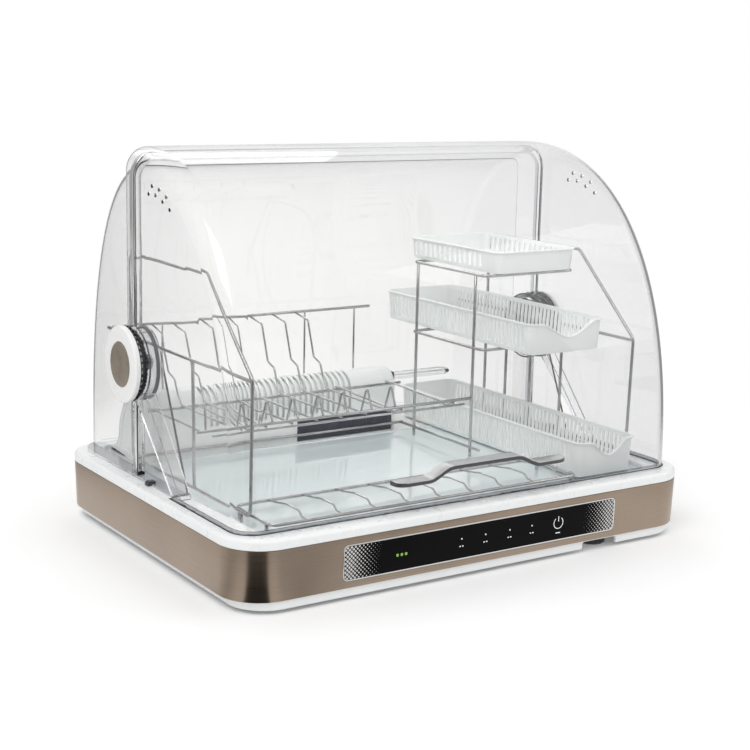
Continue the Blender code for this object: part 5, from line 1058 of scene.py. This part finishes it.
def makePlateRack():
    thin, thick, lower, low, left, right = wire.thin, wire.frame, wire.lower, wire.rackZ, wire.left, rack.right
    railY, railZ, supportY, rodY = wire.railY, wire.railZ, wire.supportY, wire.rodY
    rise, pitch = railZ - low, rack.span * rack.pitch
    posts = [rack.span * share - wire.standX for share in rack.posts]
    plates = [rack.span * rack.first - wire.standX + pitch * index for index in range(rack.count)]
    wirePiece("rack_back", "plate_rack_rear", [rod((left, railY, railZ), (right, railY, railZ))]
              + [rod((x, railY, railZ), (x, railY, rack.postFoot), thin) for x in posts])
    sunk, supportZ, endX = low - 3 * gap, low - thin - gap - thick, plates[0] - pitch * 1.2
    riseY, endZ = rodY + thick + thin + gap, low + 0.02875
    crosses = [(x, crossShares, [(x, rodY + 2 * thin + gap, low)]) for x in posts]
    crosses.append((endX, ((0.07, 0.0), (0.92, 0.0)), [(endX, riseY, low + 3 * thin), (endX, riseY, endZ)]))
    wires = [rod((endX - thick, supportY, supportZ), (right - 2 * thick, supportY, supportZ))]
    for x, shares, end in crosses:
        path = [(x, supportY + rack.tail, sunk), (x, supportY - rack.tail, sunk)]
        wires.append((path + sharePath(x, shares, supportY, rodY, low, rise) + end, thin, 0.004, False))
    wirePiece("rack_bed", "plate_rack_floor", wires)
    upperZ, lowerZ, half = low + thin + gap + thick, low - thin - gap - lower, rack.veeWidth / 2
    footZ, tipZ = upperZ + thick / 3, upperZ + thick / 3 + rack.veeHeight
    wires = [rod((left, rodY, upperZ), (tower.left - thick - gap, rodY, upperZ)),
             rod((plates[0] - pitch, rodY, lowerZ), (right - 4 * thick, rodY, lowerZ), lower)]
    wires += [([(x - half, rodY, footZ), (x, rodY, tipZ), (x + half, rodY, footZ)], thin, 0.0016, False)
              for x in plates]
    wirePiece("rack_front", "plate_rack_front", wires + [rod((x, rodY, upperZ), (x, rodY, lowerZ), thin)
                                                         for x in posts])
    for index, x in enumerate(plates, 1):
        path = sharePath(x, dividerShares, railY - thick - 2 * gap, supportY, low, rise) + [(x, rodY, low)]
        wirePiece(f"divider_{index}", f"plate_divider_{index}", [(path, thin, 0.005, False)])


def makeSaucerRack():
    low, rearY, frontY, span = wire.low, saucer.rearY, saucer.frontY, saucer.right - wire.left
    wires = [frameLoop(wire.left, saucer.right, frontY, rearY, low)]
    for index in range(saucer.count):
        x = wire.left + span * (saucer.first + saucer.pitch * index)
        wires.append((sharePath(x, saucerShares, rearY, frontY, low, saucer.rise), wire.thin, 0.006, False))
    wires += [rod((x, y, wire.foot), (x, y, low)) for x in (wire.left, saucer.right)
              for y in (rearY + (frontY - rearY) * share for share in (0.12, 0.86))]
    wirePiece("saucer_wires", "saucer_rack", wires)


def makeTower():
    thick, low, foot, left, right = wire.frame, wire.low, wire.foot, tower.left, tower.right
    wires = [rod((left, tower.tieY, low), (left, tower.frontY, low))]
    wires += [frameLoop(left, right, tower.frontY, tower.rearY, z) for z in (tower.top, tower.middle)]
    wires += [rod((left, y, low), (left, y, tower.top)) for y in (tower.leftPost, wire.rodY)]
    wires += [rod((right, y, foot), (right, y, tower.middle)) for y in tower.rightPosts]
    wires += [rod((left, y, foot), (left, y, low)) for y in (tower.leftPost, wire.rodY)]
    wires.append(rod((wire.left - thick, tower.tieY, low), (left + 2 * thick, tower.tieY, low)))
    wires.append(rod(*((right, y, tower.top) for y in tower.tail)))
    wirePiece("tower_wires", "basket_tower", wires)


for sideName, sideSign in (("left", -1.0), ("right", 1.0)):
    makeStand(sideName, sideSign)
makePlateRack()
makeSaucerRack()
makeTower()
print("wire work bent and welded")


# baskets
basket = Sizes(wall=0.0016, lip=0.0022, lipThick=0.0016, draft=0.002, corner=0.012, slotShare=0.5,
               slotMargin=0.0048, endMargin=0.017, drainPitch=0.009, drainWidth=0.003, foot=0.0678, footSize=0.008)
basketSizes = {
    "top": Sizes(left=0.115, right=0.23185, front=-0.060, rear=0.115, low=0.27575, height=0.0245, scoop=0.0,
                 slotsFrom=-0.030, slotPitch=0.0094, feet=()),
    "middle": Sizes(left=0.124, right=0.23185, front=-0.112, rear=0.176, low=0.19375, height=0.0345, scoop=0.016,
                    slotsFrom=-0.112, slotPitch=0.0068, feet=()),
    "bottom": Sizes(left=0.146, right=0.23015, front=-0.174, rear=0.172, low=0.0692, height=0.039, scoop=0.016,
                    slotsFrom=-0.174, slotPitch=0.0068, feet=(0.164, 0.20415)),
}


def makeBasket(name, size):
    wall, draft, thick, lip, margin = basket.wall, basket.draft, basket.lipThick, basket.lip, basket.endMargin
    lowZ, topZ = size.low, size.low + size.height

    def ring(inset, level, fromTop):
        # the front edge dips where the basket is scooped out
        x0, x1, y0 = size.left + lip + inset, size.right - lip - inset, size.front + lip + inset
        radius = basket.corner - inset
        outline = [(x, y, 0.0) for x, y in roundRect(x0, x1, y0, size.rear - lip - inset, radius, steps=8)]
        for share in (step / 36 for step in range(1, 36)):
            dip = math.sin(math.pi * min(max((share - 0.04) / 0.94, 0.0), 1.0)) ** 1.5
            outline.append((x0 + radius + (x1 - x0 - 2 * radius) * share, y0, dip))
        return [(x, y, topZ - level - size.scoop * dip if fromTop else lowZ + level) for x, y, dip in outline]

    rings = [ring(draft + 0.0018, 0.0, False), ring(draft + 0.0006, 0.0004, False), ring(draft, 0.0014, False)]
    rings += [ring(inset, level, True) for inset, level in (
        (0.0, thick), (0.0004 - lip, thick), (-lip, thick - 0.0004), (-lip, 0.0004), (0.0004 - lip, 0.0),
        (wall - 0.0003, 0.0), (wall, 0.0003))]
    rings += [ring(draft + wall + inset, wall + level, False) for inset, level in (
        (0.0, 0.0012), (0.0005, 0.0003), (0.0015, 0.0))]
    body = skinRings("basket_of_" + name, rings)
    lastY, firstY = size.rear - margin, max(size.front + margin, size.slotsFrom)
    half = size.slotPitch * basket.slotShare / 2
    tools = []
    for index in range(int((lastY - firstY) / size.slotPitch) + 1):
        y = lastY - size.slotPitch * index
        outline = roundRect(y - half, y + half, lowZ + basket.slotMargin, topZ - thick - 0.0022, half * 0.9, steps=3)
        tools.append(slab("slot", outline, "X", size.left - past, size.right + past))
    for index in range(int((lastY - size.front - margin) / basket.drainPitch) + 1):
        y = size.front + margin + basket.drainPitch * index
        outline = roundRect(size.left + margin, size.right - margin, y, y + basket.drainWidth, 0.0014, steps=3)
        tools.append(slab("drain", outline, "Z", lowZ - past, lowZ + wall + gap))
    carve(body, tools)
    y = size.front + lip + draft + 0.008
    for x in size.feet:
        weld(body, [brick("foot", (x, y, basket.foot), (x + basket.footSize, y + basket.footSize, lowZ + wall / 2))])
    fitOut(body, "basket_white", "cabinet", ["basket_" + name], 30.0)


for basketName, basketSize in basketSizes.items():
    makeBasket(basketName, basketSize)
print("baskets moulded")


# finishes on the frame's own nodes
nodeFinishes = {
    "foot_rubber": ["foot_front_left", "foot_front_right", "foot_rear_left", "foot_rear_right"],
    "board_green": ["control_board"],
    "dark_plastic": ["cord_gland", "shell_clip_left", "shell_clip_right", "fan_impeller", "interlock_sensor",
                     "lamp_holder"],
    "case_grey": ["lamp_ballast"],
    "pin_steel": ["pivot_pin_left", "pivot_pin_right", "cover_magnet"],
    "motor_steel": ["fan_motor"],
    "fin_metal": ["heater"],
}
for finishName, nodeNames in nodeFinishes.items():
    for nodeName in nodeNames:
        for materialSlot in frame["nodes"][nodeName].material_slots:
            materialSlot.material = finishes[finishName]
print("frame nodes finished")


# floor, light and camera
studio = Sizes(floor=(0.86, 0.86, 0.86), floorGlow=0.12, fadeFrom=0.55, fadeTo=1.5, worldLight=0.84,
               white=(1.0, 1.0, 1.0, 1.0), soft=(0.95, 0.95, 0.95, 1.0), heading=(-0.5526, -0.8334, 0.0),
               corner=(-0.235, -0.164, 0.0), nearFrom=0.5, nearTo=0.95, overheadFrom=0.35, overheadTo=0.6)
floorMirror = ((0.0, 0.88), (0.30, 0.86), (0.45, 0.82), (0.62, 0.62), (0.73, 0.50), (0.82, 0.62), (0.90, 0.80),
               (0.955, 0.80), (0.972, 0.03), (1.0, 0.02))
roomMirror = ((0.0, 1.0), (0.012, 1.0), (0.05, 0.35), (0.17, 0.30), (0.30, 0.70), (0.58, 0.70), (0.70, 0.50),
              (0.84, 0.45), (0.945, 0.50), (0.97, 0.06), (1.0, 0.06))
softLamps = (("key", (-1.3, -0.9, 1.9), (0.0, 0.0, 0.15), (1.2, 1.2), 14.5),
             ("fill", (1.7, -1.2, 1.2), (0.0, 0.0, 0.15), (1.0, 1.4), 6.0),
             ("rim", (0.3, 1.8, 1.6), (0.0, 0.0, 0.2), (1.8, 0.7), 7.0))
view = Sizes(lens=1543.87 * 36.0 / 750.0, sensor=36.0, azimuth=33.55, down=11.7, roll=1.29,
             place=(-0.9145, -1.3779, 0.5079))


def rayKinds(graph):
    # what the eye sees, also through clear walls, and what bounced off a shiny surface
    path = graph.add("LightPath", {})
    seen = graph.sums("MAXIMUM", path["Is Camera Ray"], path["Is Transmission Ray"])
    mirrored = graph.sums("SUBTRACT", path["Glossy Depth"], path["Diffuse Depth"])
    mirrored.node.use_clamp = True
    return graph.spread(seen, studio.worldLight, 1.0, 0.0, 1.0), seen, mirrored


def headingOf(graph, vector):
    turn = graph.vectors("DOT_PRODUCT", graph.vectors("NORMALIZE", vector), studio.heading, out="Value")
    return graph.spread(turn, 0.0, 1.0, -1.0, 1.0)


def makeFloor():
    # pale floor near the cabinet, fading into the plain white of the backdrop further out
    floor = slab("studio_floor", roundRect(-6.0, 6.0, -6.0, 6.0, 0.5), "Z", -0.02, 0.0)
    finish, graph, shader, place = startFinish("studio_floor")
    distance = graph.vectors("LENGTH", place, out="Value")
    light, seen, mirrored = rayKinds(graph)
    tint = graph.tints(graph.noise(place, 3.0), ((0.3, shade(studio.floor, 0.99)), (0.7, studio.floor)))
    graph.fill(shader, {"Base Color": tint, "Roughness": 0.9, "Specular IOR Level": 0.1,
                        "Emission Color": studio.white,
                        "Emission Strength": graph.sums("MULTIPLY", seen, studio.floorGlow)})
    backdrop = graph.add("Emission", {"Color": studio.white, "Strength": light})["Emission"]
    fade = graph.spread(distance, 0.0, 1.0, studio.fadeFrom, studio.fadeTo)
    soft = graph.cover(fade, shader.outputs["BSDF"], backdrop)
    # bright metal and glass mirror a darker studio floor
    turn = headingOf(graph, graph.vectors("SUBTRACT", place, studio.corner))
    away = graph.spread(distance, 0.0, 1.0, studio.nearFrom, studio.nearTo)
    grey = graph.blend(away, graph.greys(turn, floorMirror), graph.greys(turn, roomMirror))
    dim = graph.add("Emission", {"Color": studio.white, "Strength": grey})["Emission"]
    graph.fill(graph.nodes["Material Output"], {"Surface": graph.cover(mirrored, soft, dim)})
    floor.data.materials.append(finish)


def makeWorld():
    # white all round for the eye; mirrors find soft boxes at the sides and overhead, and a dim room between
    world = bpy.data.worlds.new("studio")
    bpy.context.scene.world = world
    world.use_nodes = True
    graph = Graph(world.node_tree)
    place = graph.add("TexCoord", {})["Generated"]
    turn = headingOf(graph, graph.vectors("MULTIPLY", place, (1.0, 1.0, 0.0)))
    overhead = graph.spread(graph.split(place)["Z"], 0.0, 1.0, studio.overheadFrom, studio.overheadTo)
    lifted = graph.blend(overhead, graph.greys(turn, roomMirror), studio.soft)
    light, _seen, mirrored = rayKinds(graph)
    graph.fill(graph.nodes["Background"], {"Color": graph.blend(mirrored, light, lifted), "Strength": 1.0})


def softLamp(name, place, target, size, power):
    light = bpy.data.lights.new(name, "AREA")
    light.shape = "RECTANGLE"
    light.size, light.size_y = size
    light.energy = power
    holder = bpy.data.objects.new(name, light)
    holder.location = place
    holder.rotation_euler = (Vector(target) - Vector(place)).to_track_quat("-Z", "Y").to_euler()
    holder.visible_glossy = False
    bpy.context.scene.collection.objects.link(holder)


def makeCamera():
    camera = bpy.data.cameras.new("view")
    camera.lens = view.lens
    camera.sensor_width = view.sensor
    camera.clip_start = 0.05
    holder = bpy.data.objects.new("view", camera)
    azimuth, down, roll = (math.radians(angle) for angle in (view.azimuth, view.down, view.roll))
    forward = Vector((math.sin(azimuth) * math.cos(down), math.cos(azimuth) * math.cos(down), -math.sin(down)))
    right = Vector((math.cos(azimuth), -math.sin(azimuth), 0.0))
    up = right.cross(forward)
    columns = (math.cos(roll) * right + math.sin(roll) * up, math.cos(roll) * up - math.sin(roll) * right, -forward)
    holder.matrix_world = Matrix.Translation(view.place) @ Matrix(columns).transposed().to_4x4()
    bpy.context.scene.collection.objects.link(holder)
    bpy.context.scene.camera = holder


makeFloor()
makeWorld()
for lampValues in softLamps:
    softLamp(*lampValues)
makeCamera()
bpy.context.scene.view_settings.view_transform = "Standard"
print("studio set")
